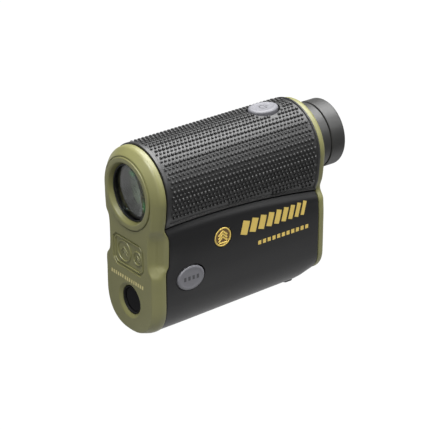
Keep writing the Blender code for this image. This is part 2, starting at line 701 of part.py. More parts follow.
def bulkhead(name, y0, y1, holes, finish):
    """Plate across the inside of the shells, with round holes (x, z, radius)."""
    mid = 0.5 * (y0 + y1)
    waist = waist_z(mid)
    narrow = hermite(waist, side_knots(mid)) - SHELL_BACK - GAP
    outline = offset_path(body_path(mid), SHELL_BACK + GAP)
    outline = [(min(x, narrow) if waist - 3.5 < z < waist + 2.0 else x, z)
               for x, z in outline]
    plate = extruded(name, mirror_path(outline), y0, y1, finish)
    for number, (x, z, radius) in enumerate(holes):
        tool = rod(f"{name}_cut_{number}", radius, y0 - 1.0, y1 + 1.0, None, (x, z), 24)
        boolean(plate, tool)
    return plate


def make_bulkheads(m):
    bulkhead("front_bulkhead", -41.2, -39.6,
             [(0.0, OPTICAL_Z, CELL_R + GAP), (0.0, LASER_Z, LASER_BARREL_R + GAP)], m["alloy"])
    rear_holes = [(0.0, EYE_Z, COLLAR_INNER_R + GAP), (0.0, BATTERY_Z, BATTERY_R + 2.1)]
    rear_holes += [(x, z, SCREW_SHANK_R + GAP) for x, z in SCREW_SPOTS]
    bulkhead("rear_bulkhead", 29.4, 31.1, rear_holes, m["alloy"])


def make_screws(m):
    for number, spot in enumerate(SCREW_SPOTS, 1):
        seat = SCREW_SEAT_Y + GAP
        head = [(0.0, 26.0), (SCREW_SHANK_R, 26.0), (SCREW_SHANK_R, seat),
                (SCREW_HEAD_R, seat), (SCREW_HEAD_R, seat + 0.6), (SCREW_HEAD_R - 0.3, seat + 0.8),
                (0.0, seat + 0.8)]
        screw = turned(f"rear_screw_{number}", head, m["steel"], spot, 16)
        slot = block(f"slot_cut_{number}", (spot[0] - 2.5, spot[0] + 2.5),
                     (seat + 0.45, seat + 1.5), (spot[1] - 0.3, spot[1] + 0.3), None)
        boolean(screw, slot)


# --------------------------------------------------------------- battery bay
def make_battery_bay(m):
    axis = (0.0, BATTERY_Z)
    tube("battery_sleeve", BATTERY_R + GAP, BATTERY_R + 1.4, -4.0, 31.5, m["switch"], axis)
    end = BATTERY_Y + BATTERY_LENGTH
    cell = [(0.0, BATTERY_Y), (3.0, BATTERY_Y), (3.0, BATTERY_Y + 0.8),
            (BATTERY_R - 0.4, BATTERY_Y + 0.8), (BATTERY_R, BATTERY_Y + 1.2),
            (BATTERY_R, end - 0.4), (BATTERY_R - 0.4, end), (0.0, end)]
    turned("battery_cell", cell, m["cell"], axis, ROUND)
    spring = [(0.0, BATTERY_Y - 3.3), (6.5, BATTERY_Y - 3.3), (6.5, BATTERY_Y - 2.5),
              (2.4, BATTERY_Y - 0.3), (0.0, BATTERY_Y - 0.3)]
    turned("front_contact", spring, m["steel"], axis)


def make_door(m):
    """Hinged battery door with its contact, lip and middle knuckle."""
    panel = rounded_box(DOOR_HALF_WIDTH, DOOR_BOTTOM_Z, DOOR_TOP_Z, 3.7)
    door = extruded("battery_door", panel, 32.7, REAR_FACE_Y + 0.2, m["black"])
    lip = [(34.0, DOOR_TOP_Z - 3.6), (35.4, DOOR_TOP_Z - 3.4), (36.6, DOOR_TOP_Z - 1.2),
           (36.6, DOOR_TOP_Z - 0.5), (35.6, DOOR_TOP_Z - 0.2), (34.0, DOOR_TOP_Z - 0.2)]
    boolean(door, extruded("lip_add", lip, -5.0, 5.0, None, "X"), "UNION")
    web = [(HINGE_Y + KNUCKLE_R * cos(a), HINGE_Z + KNUCKLE_R * sin(a))
           for a in np.linspace(-3 * pi / 4, pi / 4, 9)]
    web += [(35.9, HINGE_Z + 3.0), (34.0, HINGE_Z + 3.0), (34.0, HINGE_Z + 0.9),
            (35.1, HINGE_Z + 0.6)]
    boolean(door, extruded("door_knuckle_add", web, -3.7, 3.7, None, "X"), "UNION")
    bore = extruded("door_bore_cut", ellipse((HINGE_Y, HINGE_Z), (PIN_BORE_R,) * 2, PIN_SIDES),
                    -5.0, 5.0, None, "X")
    boolean(door, bore)
    set_origin(door, (0.0, HINGE_Y, HINGE_Z))
    pin = extruded("door_hinge_pin", ellipse((HINGE_Y, HINGE_Z), (PIN_R,) * 2, PIN_SIDES),
                   -7.9, 7.9, m["steel"], "X")
    set_origin(pin, (0.0, HINGE_Y, HINGE_Z))
    plate = [(0.0, 28.4), (2.6, 28.4), (6.2, 31.6), (6.2, 32.4), (0.0, 32.4)]
    contact = turned("door_contact", plate, m["steel"], (0.0, BATTERY_Z))
    set_origin(contact, (0.0, HINGE_Y, HINGE_Z))


# ------------------------------------------------------------------ assembly
def clear_scene():
    for old in list(bpy.data.objects):
        bpy.data.objects.remove(old, do_unlink=True)


def build():
    clear_scene()
    m = make_materials()
    make_front_bezel(m["olive"])
    housings = (make_housing("housing_left", 1, m["black"]),
                make_housing("housing_right", -1, m["black"]))
    grip = make_grip(m["grip"])
    cut_button_holes(housings, grip)
    make_rear_bezel(m["olive"])
    make_rear_foot(m["black"])
    make_medallion(m["gold"])
    make_controls(m)
    make_objective(m)
    make_prisms(m)
    make_eyepiece(m)
    make_laser(m)
    make_boards(m)
    make_bulkheads(m)
    make_screws(m)
    make_battery_bay(m)
    make_door(m)


build()
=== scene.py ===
"""Looks of a pocket laser rangefinder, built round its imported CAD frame.

Lengths are in millimetres, and MM turns them into metres.  +Y points from the
objective towards the eye, +Z is up, and +X is the side with the mode button.
"""

import json
from math import cos, hypot, pi, radians, sin, sqrt, tan

import bmesh
import bpy
import numpy as np
from mathutils import Matrix, Vector


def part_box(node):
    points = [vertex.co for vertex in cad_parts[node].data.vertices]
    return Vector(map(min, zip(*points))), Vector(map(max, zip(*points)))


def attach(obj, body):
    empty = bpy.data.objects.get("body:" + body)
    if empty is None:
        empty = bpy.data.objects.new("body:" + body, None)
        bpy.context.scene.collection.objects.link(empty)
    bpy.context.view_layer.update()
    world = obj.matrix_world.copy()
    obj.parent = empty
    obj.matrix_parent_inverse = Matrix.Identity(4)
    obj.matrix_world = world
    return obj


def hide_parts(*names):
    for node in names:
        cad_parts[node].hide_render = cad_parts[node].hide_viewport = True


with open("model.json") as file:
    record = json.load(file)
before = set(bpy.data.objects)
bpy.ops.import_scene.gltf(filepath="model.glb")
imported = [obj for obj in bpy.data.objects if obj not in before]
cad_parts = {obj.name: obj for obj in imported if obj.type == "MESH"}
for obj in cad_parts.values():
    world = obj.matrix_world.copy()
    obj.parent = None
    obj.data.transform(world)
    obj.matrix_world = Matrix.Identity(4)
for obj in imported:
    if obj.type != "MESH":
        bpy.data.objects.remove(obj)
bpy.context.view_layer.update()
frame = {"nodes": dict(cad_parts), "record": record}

MM = 0.001
GAP = 0.3  # clearance between neighbouring pieces
X, Y, Z = 0, 1, 2


def span(node, axis):
    """Lowest and highest coordinate of a CAD node along an axis."""
    low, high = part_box(node)
    return low[axis] / MM, high[axis] / MM


def middle(node, *axes):
    """Centre of a CAD node: one coordinate, or a tuple where more than one axis is asked for."""
    found = tuple(sum(span(node, axis)) / 2 for axis in axes)
    return found if len(axes) > 1 else found[0]


# Places read from the frame
OPTICAL_Z = middle("objective_cell", Z)
EYE_Z = middle("eyecup", Z)
LASER_Z = middle("laser_window", Z)
CREST_Y = span("front_bezel", Y)[0]
RIM_Y = span("eyecup", Y)[1]
REAR_SEAM_Y = span("rear_bezel", Y)[0]
POWER_AT = middle("power_button", X, Y)
MODE_AT = middle("mode_button", Y, Z)
MEDALLION_AT = middle("side_medallion", Y, Z)
HINGE_Y, HINGE_Z = middle("door_hinge_pin", Y, Z)
SCREW_SPOTS = [middle(f"rear_screw_{i}", X, Z) for i in (1, 2, 3, 4)]

# Body shape, the same rules as the CAD shells follow
FACE_Y = CREST_Y + 0.5  # flat front face
FRONT_SEAM_Y = -42.6
REAR_FACE_Y = 34.5
LOBE_R = 18.0
CORNER_Z = 17.5  # where the flank turns into the rounded lower corner
SEAM_BULGE = 1.0
SHELL_FRONT = 1.7  # recess of the shells under the grip
SHELL_BACK = 3.3
LOWER_WALL = 1.9
ARMOUR_BACK = 1.4
BEZEL_WALL = 2.2
POWER_WELL = ((70.8, 0.0), (80.0, 0.0))  # levels of the cut round the power button
KNUCKLE_R = 1.2  # battery door's hinge
PIN_HOLE_R = 0.66

# Grip relief, as heights above the lobe
GRIP_FIELD = 0.08
GRIP_BORDER = 0.60
ROW_ANGLE = radians(5.67)  # from one row of studs to the next
COLUMN_PITCH = 1.736  # from one stud to the next in a row
TALL_STUD = (1.40, 1.38, 0.84)  # length, width round the lobe, and crown above the field
SHORT_STUD = (1.12, 1.08, 0.68)
STUD_LEAN = 0.20  # how far a stud's top lies ahead of its foot, as a share of its length
RIB_ROWS = (8.1, 10.15)  # where the lengthwise ribs lie, counted in rows from the top
STUDS_FROM = 2.9  # behind the grip's front end
STUDS_TO = 1.6  # ahead of its rear end
STUDS_ABOVE = 1.9  # above its lower edge
STUD_SIDES = 10
FRONT_BORDER = (1.5, 0.5)  # widths of the raised border and of the slope inside it
REAR_BORDER = (0.7, 0.4)  # the same along the rear and lower edges
GRIP_EDGE = ((1.1, 0.0), (1.0, 0.0), (0.85, 0.0), (0.7, 0.0), (0.4, 0.0), (0.2, 0.04),
             (0.08, 0.14), (0.0, 0.3))  # distance from the lower edge, and how far the skin drops

# Badge panel on the front face
PANEL_X = -0.4
PANEL_HALF = 10.1  # half of its width
PANEL_LOW, PANEL_HIGH = 26.1, 39.3
PANEL_DEPTH = 0.55
EMBLEMS = (((-3.4, 32.9), 4.2), ((5.2, 32.9), 2.7))  # centres and radii

PAINTED_GLINT_GLOW = 0.16  # glow of the two green glints painted on the objective, in place of coating reflections

# Studio
AIM = Vector((0.93, -7.16, 38.0))  # what the camera looks at
AZIMUTH = radians(52.8)
ELEVATION = radians(25.2)
ROLL = radians(-0.36)
DISTANCE = 876.6
SENSOR_WIDTH = 36.0
FOCAL_LENGTH = 188.1
FLOOR_BOUNCE = 0.18  # share of light the floor gives back to the object
FLOOR_GLOW = 1.08  # brightness of the paper
FLOOR_SEEN = 0.93  # share of the glow that the camera sees
FLOOR_MIRRORED = ((-125.0, 0.90), (-88.0, 0.30), (-40.0, 0.42), (-8.0, 0.50), (14.0, 1.0),
                  (38.0, 1.0), (80.0, 0.11))  # x, share of the glow seen in reflections
FLOOR_REACH = 150.0  # from the middle to either end of that run
AMBIENT = (0.05, 0.22)  # surroundings at the horizon and overhead
BACKDROP = 1.0  # what the camera sees above the floor
LIT_POINT = (0.0, 0.0, 40.0)  # what the lights are turned to
LIGHTS = {"key": ((-110.0, 340.0, 890.0), (900.0, 640.0), 20.0),  # place, size and watts
          "top": ((200.0, -290.0, 880.0), (400.0, 400.0), 9.5),
          "shoulder": ((620.0, 540.0, 640.0), (450.0, 450.0), 2.6),
          "front": ((750.0, -600.0, 350.0), (400.0, 400.0), 1.3)}

# Mesh fineness
ROUND = 96
ROUND_SMALL = 48


# ---------------------------------------------------------------- materials
class Tree:
    """Short calls for building the node tree of a material or a world."""

    def __init__(self, owner):
        owner.use_nodes = True
        self.tree = owner.node_tree

    def feed(self, socket, value):
        """Link a socket to another one, or set it to a constant."""
        if isinstance(value, bpy.types.NodeSocket):
            self.tree.links.new(value, socket)
        else:
            socket.default_value = value

    def node(self, kind, inputs=None, **settings):
        made = self.tree.nodes.new("ShaderNode" + kind)
        for key, value in settings.items():
            setattr(made, key, value)
        for key, value in (inputs or {}).items():
            self.feed(made.inputs[key], value)
        return made

    def math(self, operation, *values):
        return self.node("Math", dict(enumerate(values)), operation=operation).outputs[0]

    def rescale(self, value, source, target, **settings):
        """Carry a value over from one range to another."""
        return self.node("MapRange", {"Value": value, "From Min": source[0], "From Max": source[1],
                                      "To Min": target[0], "To Max": target[1]}, **settings).outputs[0]


class Graph(Tree):
    """One material's nodes."""

    def __init__(self, colour, roughness, metallic=0.0, **constants):
        self.material = bpy.data.materials.new("finish")
        super().__init__(self.material)
        self.shader = self.tree.nodes["Principled BSDF"]
        self.set("Base Color", (*colour, 1.0))
        self.set("Roughness", roughness)
        self.set("Metallic", metallic)
        for socket, value in constants.items():
            self.set(socket.replace("_", " "), value)
        self.place = self.node("TexCoord").outputs["Object"]

    def set(self, socket, value):
        self.feed(self.shader.inputs[socket], value)

    def noise(self, size, detail=2.0, roughness=0.5):
        """Noise whose features are about size millimetres across."""
        return self.node("TexNoise", {"Vector": self.place, "Scale": 1.0 / (size * MM),
                                      "Detail": detail, "Roughness": roughness}).outputs["Fac"]

    def ramp(self, factor, low, high):
        """A value that runs from low to high as the noise does."""
        return self.rescale(factor, (0.3, 0.7), (low, high))

    def blend(self, factor, one, two):
        made = self.node("Mix", {"Factor": factor}, data_type="RGBA")
        made.inputs[6].default_value = (*one, 1.0)
        made.inputs[7].default_value = (*two, 1.0)
        return made.outputs[2]

    def patch(self, centre, semi, soft):
        """An oval spot on the objective's face: 1 inside and 0 outside, with a soft edge."""
        flat = self.node("Mapping", {"Vector": self.place, "Location": (
            -centre[0] / semi[0], 0.0, -(OPTICAL_Z + centre[1]) / semi[1]),
            "Scale": (1 / (semi[0] * MM), 0.0, 1 / (semi[1] * MM))})
        away = self.node("VectorMath", {0: flat.outputs[0]}, operation="LENGTH").outputs["Value"]
        return self.rescale(away, (1.0 - soft, 1.0), (1.0, 0.0), interpolation_type="SMOOTHSTEP")

    def bump(self, height, depth, strength=1.0):
        """Relief of the given depth in millimetres."""
        return self.node("Bump", {"Height": height, "Distance": depth * MM,
                                  "Strength": strength}).outputs["Normal"]


def shade(colour, factor):
    return tuple(min(c * factor, 1.0) for c in colour)


def moulded(colour, roughness, grain=0.45, depth=0.012, mottle=0.06, **constants):
    """Spark-textured moulded plastic or rubber with a faint mottle."""
    g = Graph(colour, roughness, **constants)
    cloud = g.noise(7.0, 3.0)
    fine = g.noise(grain, 2.0, 0.6)
    g.set("Base Color", g.blend(cloud, shade(colour, 1 - mottle), shade(colour, 1 + mottle)))
    g.set("Roughness", g.ramp(fine, roughness - 0.05, roughness + 0.06))
    g.set("Normal", g.bump(fine, depth))
    return g.material


def metal(colour, roughness, metallic=1.0, brushed=0.35):
    """Turned or plated metal with fine tool marks round its axis."""
    g = Graph(colour, roughness, metallic)
    streak = g.node("Mapping", {"Vector": g.place, "Scale": (1.0, 9.0, 1.0)})
    marks = g.node("TexNoise", {"Vector": streak.outputs["Vector"], "Scale": 900.0,
                                "Detail": 3.0}).outputs["Fac"]
    g.set("Base Color", g.blend(g.noise(5.0), shade(colour, 0.9), shade(colour, 1.08)))
    g.set("Roughness", g.ramp(marks, roughness - 0.07, roughness + 0.1))
    g.set("Normal", g.bump(marks, 0.004, brushed))
    return g.material


def coated_glass(tint, film, roughness=0.02, gloss=0.3):
    """Optical glass with a thin interference coating."""
    g = Graph(tint, roughness, Transmission_Weight=1.0, IOR=1.52, Specular_IOR_Level=gloss,
              Thin_Film_Thickness=film, Thin_Film_IOR=1.38)
    g.set("Roughness", g.ramp(g.noise(6.0), roughness, roughness + 0.02))
    return g.material


def objective_glass_painted_glints():
    """Glass whose IOR is higher, so paler, over most of the disc, with two green glints painted on as a
    glow.
    """
    g = Graph((0.90, 0.94, 0.90), 0.02, Transmission_Weight=1.0)
    pale = g.patch((-2.0, -1.2), (8.3, 11.2), 0.16)
    g.set("IOR", g.rescale(pale, (0.0, 1.0), (1.32, 1.44)))
    # Masks of the two painted glints: green spots that stand in for coating reflections.
    upper = g.patch((0.4, 7.8), (2.9, 1.6), 1.0)
    right = g.patch((7.8, -3.3), (1.5, 3.6), 1.0)
    # Painted glints: green emission over the two masks, so they glow though the glass is no lamp.
    g.set("Emission Color", (0.05, 0.50, 0.12, 1.0))
    g.set("Emission Strength", g.math("MULTIPLY", g.math("MAXIMUM", upper, right), PAINTED_GLINT_GLOW))
    return g.material


def tinted_window(colour):
    """Dark window that only the laser's infrared passes."""
    g = Graph(colour, 0.10, Specular_IOR_Level=0.05)
    g.set("Base Color", g.blend(g.noise(8.0), shade(colour, 0.8), shade(colour, 1.3)))
    return g.material


def printed_board(colour):
    """Solder mask over copper tracks."""
    g = Graph(colour, 0.42)
    tracks = g.node("TexVoronoi", {"Vector": g.place, "Scale": 700.0},
                    feature="DISTANCE_TO_EDGE", distance="MANHATTAN").outputs["Distance"]
    mask = g.rescale(tracks, (0.06, 0.1), (0.0, 1.0))
    g.set("Base Color", g.blend(mask, shade(colour, 2.2), colour))
    g.set("Normal", g.bump(mask, 0.03, 0.5))
    return g.material


def make_finishes():
    """The materials, by name: one or more for each of the record's slots."""
    finishes = dict(
        olive_polymer=moulded((0.178, 0.174, 0.068), 0.44, grain=0.5, depth=0.008, mottle=0.04,
                              Specular_IOR_Level=0.56),
        black_polymer=moulded((0.0095, 0.0095, 0.010), 0.42, grain=0.5, depth=0.014,
                              Specular_IOR_Level=0.38),
        grip_rubber=moulded((0.023, 0.023, 0.023), 0.40, grain=0.4, depth=0.008, mottle=0.1),
        button_grey=moulded((0.150, 0.150, 0.164), 0.50, grain=0.5, depth=0.006, mottle=0.04),
        gold_print=metal((0.86, 0.64, 0.17), 0.45, metallic=0.5, brushed=0.2),
        gilt_faint=metal((0.62, 0.55, 0.26), 0.55, metallic=0.2, brushed=0.2),
        gilt_recess=metal((0.20, 0.12, 0.05), 0.50, metallic=0.5, brushed=0.2),
        coated_glass=coated_glass((0.90, 0.94, 0.90), 245.0, gloss=0.40),
        # Front objective glass, with two painted green glints that glow.
        objective_glass_painted_glints=objective_glass_painted_glints(),
        green_coated_glass=coated_glass((0.80, 0.95, 0.84), 500.0, gloss=0.12),
        laser_window=tinted_window((0.003, 0.003, 0.004)),
        prism_glass=coated_glass((0.93, 0.95, 0.96), 120.0, 0.01),
        black_anodised=metal((0.020, 0.020, 0.021), 0.40, metallic=0.5),
        chassis_alloy=metal((0.46, 0.47, 0.48), 0.42, metallic=0.9),
        seal_rubber=moulded((0.009, 0.009, 0.009), 0.72, grain=0.3, depth=0.01,
                            Specular_IOR_Level=0.25),
        eyecup_rubber=moulded((0.028, 0.028, 0.027), 0.43, grain=0.5, depth=0.006,
                              Specular_IOR_Level=0.5),
        plated_steel=metal((0.55, 0.55, 0.56), 0.30),
        circuit_board=printed_board((0.02, 0.13, 0.06)),
        switch_body=moulded((0.055, 0.055, 0.06), 0.5),
        battery_wrap=moulded((0.07, 0.10, 0.30), 0.35, depth=0.003),
    )
    for name, material in finishes.items():
        material.name = "visible_" + name
    return finishes


# ------------------------------------------------------------- mesh helpers
def as_object(name, bm):
    """Turn a bmesh in millimetres into a linked object in metres."""
    bmesh.ops.remove_doubles(bm, verts=bm.verts, dist=1e-4)
    bmesh.ops.scale(bm, verts=bm.verts, vec=(MM, MM, MM))
    bmesh.ops.recalc_face_normals(bm, faces=bm.faces)
    mesh = bpy.data.meshes.new(name)
    bm.to_mesh(mesh)
    bm.free()
    made = bpy.data.objects.new(name, mesh)
    bpy.context.scene.collection.objects.link(made)
    return made


def bake_modifiers(piece):
    """Replace a piece's mesh by its evaluated one."""
    bpy.context.view_layer.update()
    graph = bpy.context.evaluated_depsgraph_get()
    mesh = bpy.data.meshes.new_from_object(piece.evaluated_get(graph))
    piece.modifiers.clear()
    piece.data = mesh


def combine(target, bm, operation="DIFFERENCE"):
    """Cut a bmesh from an object, or join it on."""
    tool = as_object("tool", bm)
    modifier = target.modifiers.new("combine", "BOOLEAN")
    modifier.operation = operation
    modifier.solver = "EXACT"
    modifier.object = tool
    bake_modifiers(target)
    bpy.data.objects.remove(tool)
    fill_gaps(target)


def fill_gaps(piece):
    """Put back the single faces that a Boolean loses where edges nearly coincide."""
    bm = bmesh.new()
    bm.from_mesh(piece.data)
    gaps = [edge for edge in bm.edges if edge.is_boundary]
    if gaps:
        bmesh.ops.holes_fill(bm, edges=gaps, sides=4)
        bmesh.ops.recalc_face_normals(bm, faces=bm.faces)
        bm.to_mesh(piece.data)
    bm.free()


def settle_normals(piece):
    """Let large flat faces keep their direction, so that only the small ones turn."""
    modifier = piece.modifiers.new("normals", "WEIGHTED_NORMAL")
    modifier.mode = "FACE_AREA"
    modifier.keep_sharp = True
    bake_modifiers(piece)


def dress(piece, finish, body="root", stands_for=None, smooth=32.0, slot=None):
    """Give a piece its shading and material, and tie it to a CAD body."""
    mesh = piece.data
    mesh.shade_smooth()
    mesh.set_sharp_from_angle(angle=radians(smooth))
    settle_normals(piece)
    piece.data.materials.clear()
    piece.data.materials.append(FINISH[finish])
    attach(piece, body)
    if stands_for:
        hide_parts(stands_for)


def add(name, bm, finish, body="root", stands_for=None, **look):
    """A dressed piece straight from its bmesh."""
    piece = as_object(name, bm)
    dress(piece, finish, body, stands_for, **look)
    return piece


def bridge(bm, rings, closed_path=True, closed_loft=False):
    """Quads between each ring of vertices and the next."""
    last = len(rings[0]) if closed_path else len(rings[0]) - 1
    pairs = list(zip(rings, rings[1:]))
    if closed_loft:
        pairs.append((rings[-1], rings[0]))
    for one, two in pairs:
        for i in range(last):
            j = (i + 1) % len(one)
            bm.faces.new((one[i], one[j], two[j], two[i]))


def turned(profile, centre, steps=ROUND):
    """Spin a closed outline of (radius, y) round an axis along Y."""
    bm = bmesh.new()
    rings = [[bm.verts.new((centre[0] + radius * cos(a), y, centre[1] + radius * sin(a)))
              for radius, y in profile] for a in np.linspace(0.0, 2 * pi, steps, endpoint=False)]
    bridge(bm, rings, closed_loft=True)
    return bm


def rounded(corners, steps=4):
    """Closed outline of (a, b, radius) corners with each corner rounded."""
    made = []
    for i, (a, b, radius) in enumerate(corners):
        here = Vector((a, b))
        if radius == 0.0:
            made.append((a, b))
            continue
        before = (Vector(corners[i - 1][:2]) - here).normalized()
        after = (Vector(corners[(i + 1) % len(corners)][:2]) - here).normalized()
        half = before.angle(after) / 2
        centre = here + (before + after).normalized() * radius / sin(half)
        first = here + before * radius / tan(half) - centre
        last = here + after * radius / tan(half) - centre
        made += [tuple(centre + first.lerp(last, t).normalized() * radius)
                 for t in np.linspace(0.0, 1.0, steps + 1)]
    return made


PLACE = {"X": lambda a, b, t: (t, a, b),
         "Y": lambda a, b, t: (a, t, b),
         "Z": lambda a, b, t: (a, b, t)}


def raised(axis, level, outwards=1):
    """A lift, as swept takes it, for lines that stand on a flat face at a level of an axis."""
    return lambda a, b, up: PLACE[axis](a, b, level + outwards * up)


def stack(outlines, axis):
    """Closed solid through (outline, distance) sections along an axis."""
    place = PLACE[axis]
    bm = bmesh.new()
    rings = [[bm.verts.new(place(a, b, along)) for a, b in outline] for outline, along in outlines]
    bridge(bm, rings)
    bm.faces.new(rings[0])
    bm.faces.new(rings[-1])
    return bm


def extruded(outline, low, high, axis):
    return stack([(outline, low), (outline, high)], axis)


def ellipse(centre, semi, steps=ROUND_SMALL):
    return [(centre[0] + semi[0] * cos(a), centre[1] + semi[1] * sin(a))
            for a in np.linspace(0.0, 2 * pi, steps, endpoint=False)]


def oval(centre, semi, levels, axis, steps=72):
    """Stack of ellipses; each level is (distance along axis, inset)."""
    return stack([(ellipse(centre, (semi[0] - inset, semi[1] - inset), steps), along)
                  for along, inset in levels], axis)


def box_outline(half_width, low, high, radius, steps=8):
    return rounded([(half_width, low, radius), (half_width, high, radius),
                    (-half_width, high, radius), (-half_width, low, radius)], steps)


def swept(path, section, lift, closed):
    """Sweep a closed section of (across, up) points along a flat path.

    lift(a, b, up) puts a point of the path's plane in space.
    """
    bm = bmesh.new()
    rings = []
    count = len(path)
    for i, point in enumerate(path):
        before = path[i - 1] if closed or i > 0 else point
        after = path[(i + 1) % count] if closed or i < count - 1 else point
        along = Vector((after[0] - before[0], after[1] - before[1])).normalized()
        rings.append([bm.verts.new(lift(point[0] + along.y * across, point[1] - along.x * across, up))
                      for across, up in section])
    bridge(bm, rings, closed_path=True, closed_loft=closed)
    if not closed:
        bm.faces.new(rings[0])
        bm.faces.new(rings[-1])
    return bm


def lines(paths, section, lift, closed=False):
    """The same section swept along several paths, as a list of bmeshes."""
    return [swept(path, section, lift, closed) for path in paths]


def ridge_section(width, height, root=0.12):
    """A raised line with rounded shoulders that starts below the surface."""
    half = width / 2
    return [(-half, -root), (half, -root), (half * 0.92, height * 0.55), (half * 0.6, height * 0.93),
            (0.0, height), (-half * 0.6, height * 0.93), (-half * 0.92, height * 0.55)]


def flat_section(width, height, root=0.05):
    half = width / 2
    return [(-half, -root), (half, -root), (half, height * 0.6), (half - 0.06, height),
            (0.06 - half, height), (-half, height * 0.6)]


def merged(parts):
    """Several bmeshes as one, each still its own closed body."""
    whole = bmesh.new()
    for part in parts:
        mesh = bpy.data.meshes.new("part")
        part.to_mesh(mesh)
        part.free()
        whole.from_mesh(mesh)
        bpy.data.meshes.remove(mesh)
    return whole


# ------------------------------------------------------------ body outlines
def hermite(z, knots):
    """Smooth value at z through (z, value) knots given from high to low."""
    zs, xs = np.array(knots[::-1]).T
    slope = np.gradient(xs, zs)
    i = int(np.clip(np.searchsorted(zs, z) - 1, 0, len(zs) - 2))
    h = zs[i + 1] - zs[i]
    t = min(max((z - zs[i]) / h, 0.0), 1.0)
    return ((2 * t ** 3 - 3 * t ** 2 + 1) * xs[i] + (t ** 3 - 2 * t ** 2 + t) * h * slope[i]
            + (3 * t ** 2 - 2 * t ** 3) * xs[i + 1] + (t ** 3 - t ** 2) * h * slope[i + 1])


def linear(z, knots):
    """Straight run between (z, value) knots given from high to low."""
    zs, values = zip(*knots[::-1])
    return float(np.interp(z, zs, values))


def ease(t):
    """Smooth step from 0 to 1."""
    t = min(max(t, 0.0), 1.0)
    return t * t * (3.0 - 2.0 * t)


def waist_z(y):
    """Height of the groove between the grip and the lower body."""
    return 48.2 - 0.00147 * (y + 28.0) ** 2


def bottom_z(y):
    """Height of the underside: a gentle rise, then a steeper one at the rear."""
    return 0.035 * max(y - FRONT_SEAM_Y, 0.0) + 0.38 * max(y - 25.0, 0.0)


def side_knots(y):
    """Half width of the body against height, from the lobe's centre down."""
    rear = (y - FRONT_SEAM_Y) / (REAR_SEAM_Y - FRONT_SEAM_Y)
    swell = min(max((y - FRONT_SEAM_Y) / 9.0, 0.0), 1.0)
    waist = waist_z(y)
    return [(OPTICAL_Z, LOBE_R),
            (waist + 5.0, 17.3 - 0.5 * rear),
            (waist, 16.2 - 0.6 * rear),
            (waist - 2.6, 17.2 + 0.1 * swell),
            (waist - 6.0, 17.75),
            (27.0, 16.9 + 0.85 * swell + 0.1 * rear),
            (CORNER_Z, 16.8 + 0.3 * swell + 0.6 * rear)]


def side_x(y, z):
    return hermite(z, side_knots(y))


def corner_path(half_width, top, bottom, steps=20, power=2.4):
    """Rounded lower quarter from the side down to the middle of the bottom."""
    points = []
    for a in np.linspace(0.0, pi / 2, steps + 1)[1:]:
        x = half_width * max(cos(a), 0.0) ** (2 / power)
        points.append((x, top - (top - bottom) * sin(a) ** (2 / power)))
    points[-1] = (0.0, bottom)
    return points


def lobe_path(radius, steps=36):
    points = [(radius * sin(a), OPTICAL_Z + radius * cos(a))
              for a in np.linspace(0.0, pi / 2, steps + 1)]
    points[0] = (0.0, points[0][1])
    return points


def offset_path(path, depth):
    """Move an outline inwards; a point on the middle plane stays on it."""
    points = [Vector(p) for p in path]
    moved = []
    for i, point in enumerate(points):
        before = points[max(i - 1, 0)]
        after = points[min(i + 1, len(points) - 1)]
        along = (after - before).normalized()
        moved.append((point.x + along.y * depth, point.y - along.x * depth))
    return [(0.0 if p[0] == 0.0 else q[0], q[1]) for p, q in zip(path, moved)]


def mirror_path(path):
    """Close a half outline from the top centre round both sides."""
    return path + [(-x, z) for x, z in path[-2:0:-1]]


def resampled(path, count):
    """The same open line with evenly spaced points."""
    points = np.array(path)
    steps = np.hypot(*np.diff(points, axis=0).T)
    along = np.concatenate([[0.0], np.cumsum(steps)])
    at = np.linspace(0.0, along[-1], count)
    even = [(float(a), float(b)) for a, b in
            zip(np.interp(at, along, points[:, 0]), np.interp(at, along, points[:, 1]))]
    even[0], even[-1] = tuple(path[0]), tuple(path[-1])
    return even


def flank_path(y, top, bottom, count):
    return [(side_x(y, z), z) for z in np.linspace(top, bottom, count)]


def lower_path(y):
    """Outside of the lower body, from the groove to the middle of the bottom."""
    side = flank_path(y, waist_z(y) - GAP, CORNER_Z, 48)
    return side + corner_path(side[-1][0], CORNER_Z, bottom_z(y))


def upper_path(y):
    """Lobe and flank down to the groove."""
    return lobe_path(LOBE_R) + flank_path(y, OPTICAL_Z - 0.5, waist_z(y), 22)


def seam_shift(z):
    """Rearward swell of the front seam beside the scoop."""
    rise = min(max((z - 29.0) / 4.0, 0.0), 1.0)
    fall = min(max((47.5 - z) / 4.0, 0.0), 1.0)
    return SEAM_BULGE * ease(min(rise, fall))


def placed(path, y, share):
    """Outline points in space, with the front seam's swell faded in."""
    return [(x, y + seam_shift(z) * share, z) for x, z in path]


BODY_FRONT_Y = FRONT_SEAM_Y + GAP
BODY_REAR_Y = REAR_SEAM_Y - GAP


def front_share(y):
    return max(0.0, 1.0 - (y - BODY_FRONT_Y) / 8.0)


def end_inset(y, radius=0.3):
    """How far an end edge is rounded back at y."""
    near = min(y - BODY_FRONT_Y, BODY_REAR_Y - y)
    return 0.0 if near >= radius else radius - sqrt(max(radius ** 2 - (radius - near) ** 2, 0.0))


def body_stations(step):
    """Closely spaced near both ends, where the edges are rounded."""
    near = [0.0, 0.05, 0.15, 0.3]
    inner = np.arange(BODY_FRONT_Y + 1.0, BODY_REAR_Y - 0.9, step)
    return ([BODY_FRONT_Y + t for t in near] + [float(y) for y in inner]
            + [BODY_REAR_Y - t for t in near[::-1]])


# -------------------------------------------------------------- outer shells
def loft_shell(name, stations):
    """A wall between open outer and inner lines, lofted along Y."""
    bm = bmesh.new()
    outer = [[bm.verts.new(p) for p in pair[0]] for pair in stations]
    inner = [[bm.verts.new(p) for p in pair[1]] for pair in stations]
    bridge(bm, outer + inner[::-1], closed_path=False, closed_loft=True)
    for end in (0, -1):
        for i in range(len(stations) - 1):
            bm.faces.new((outer[i][end], outer[i + 1][end], inner[i + 1][end], inner[i][end]))
    return as_object(name, bm)


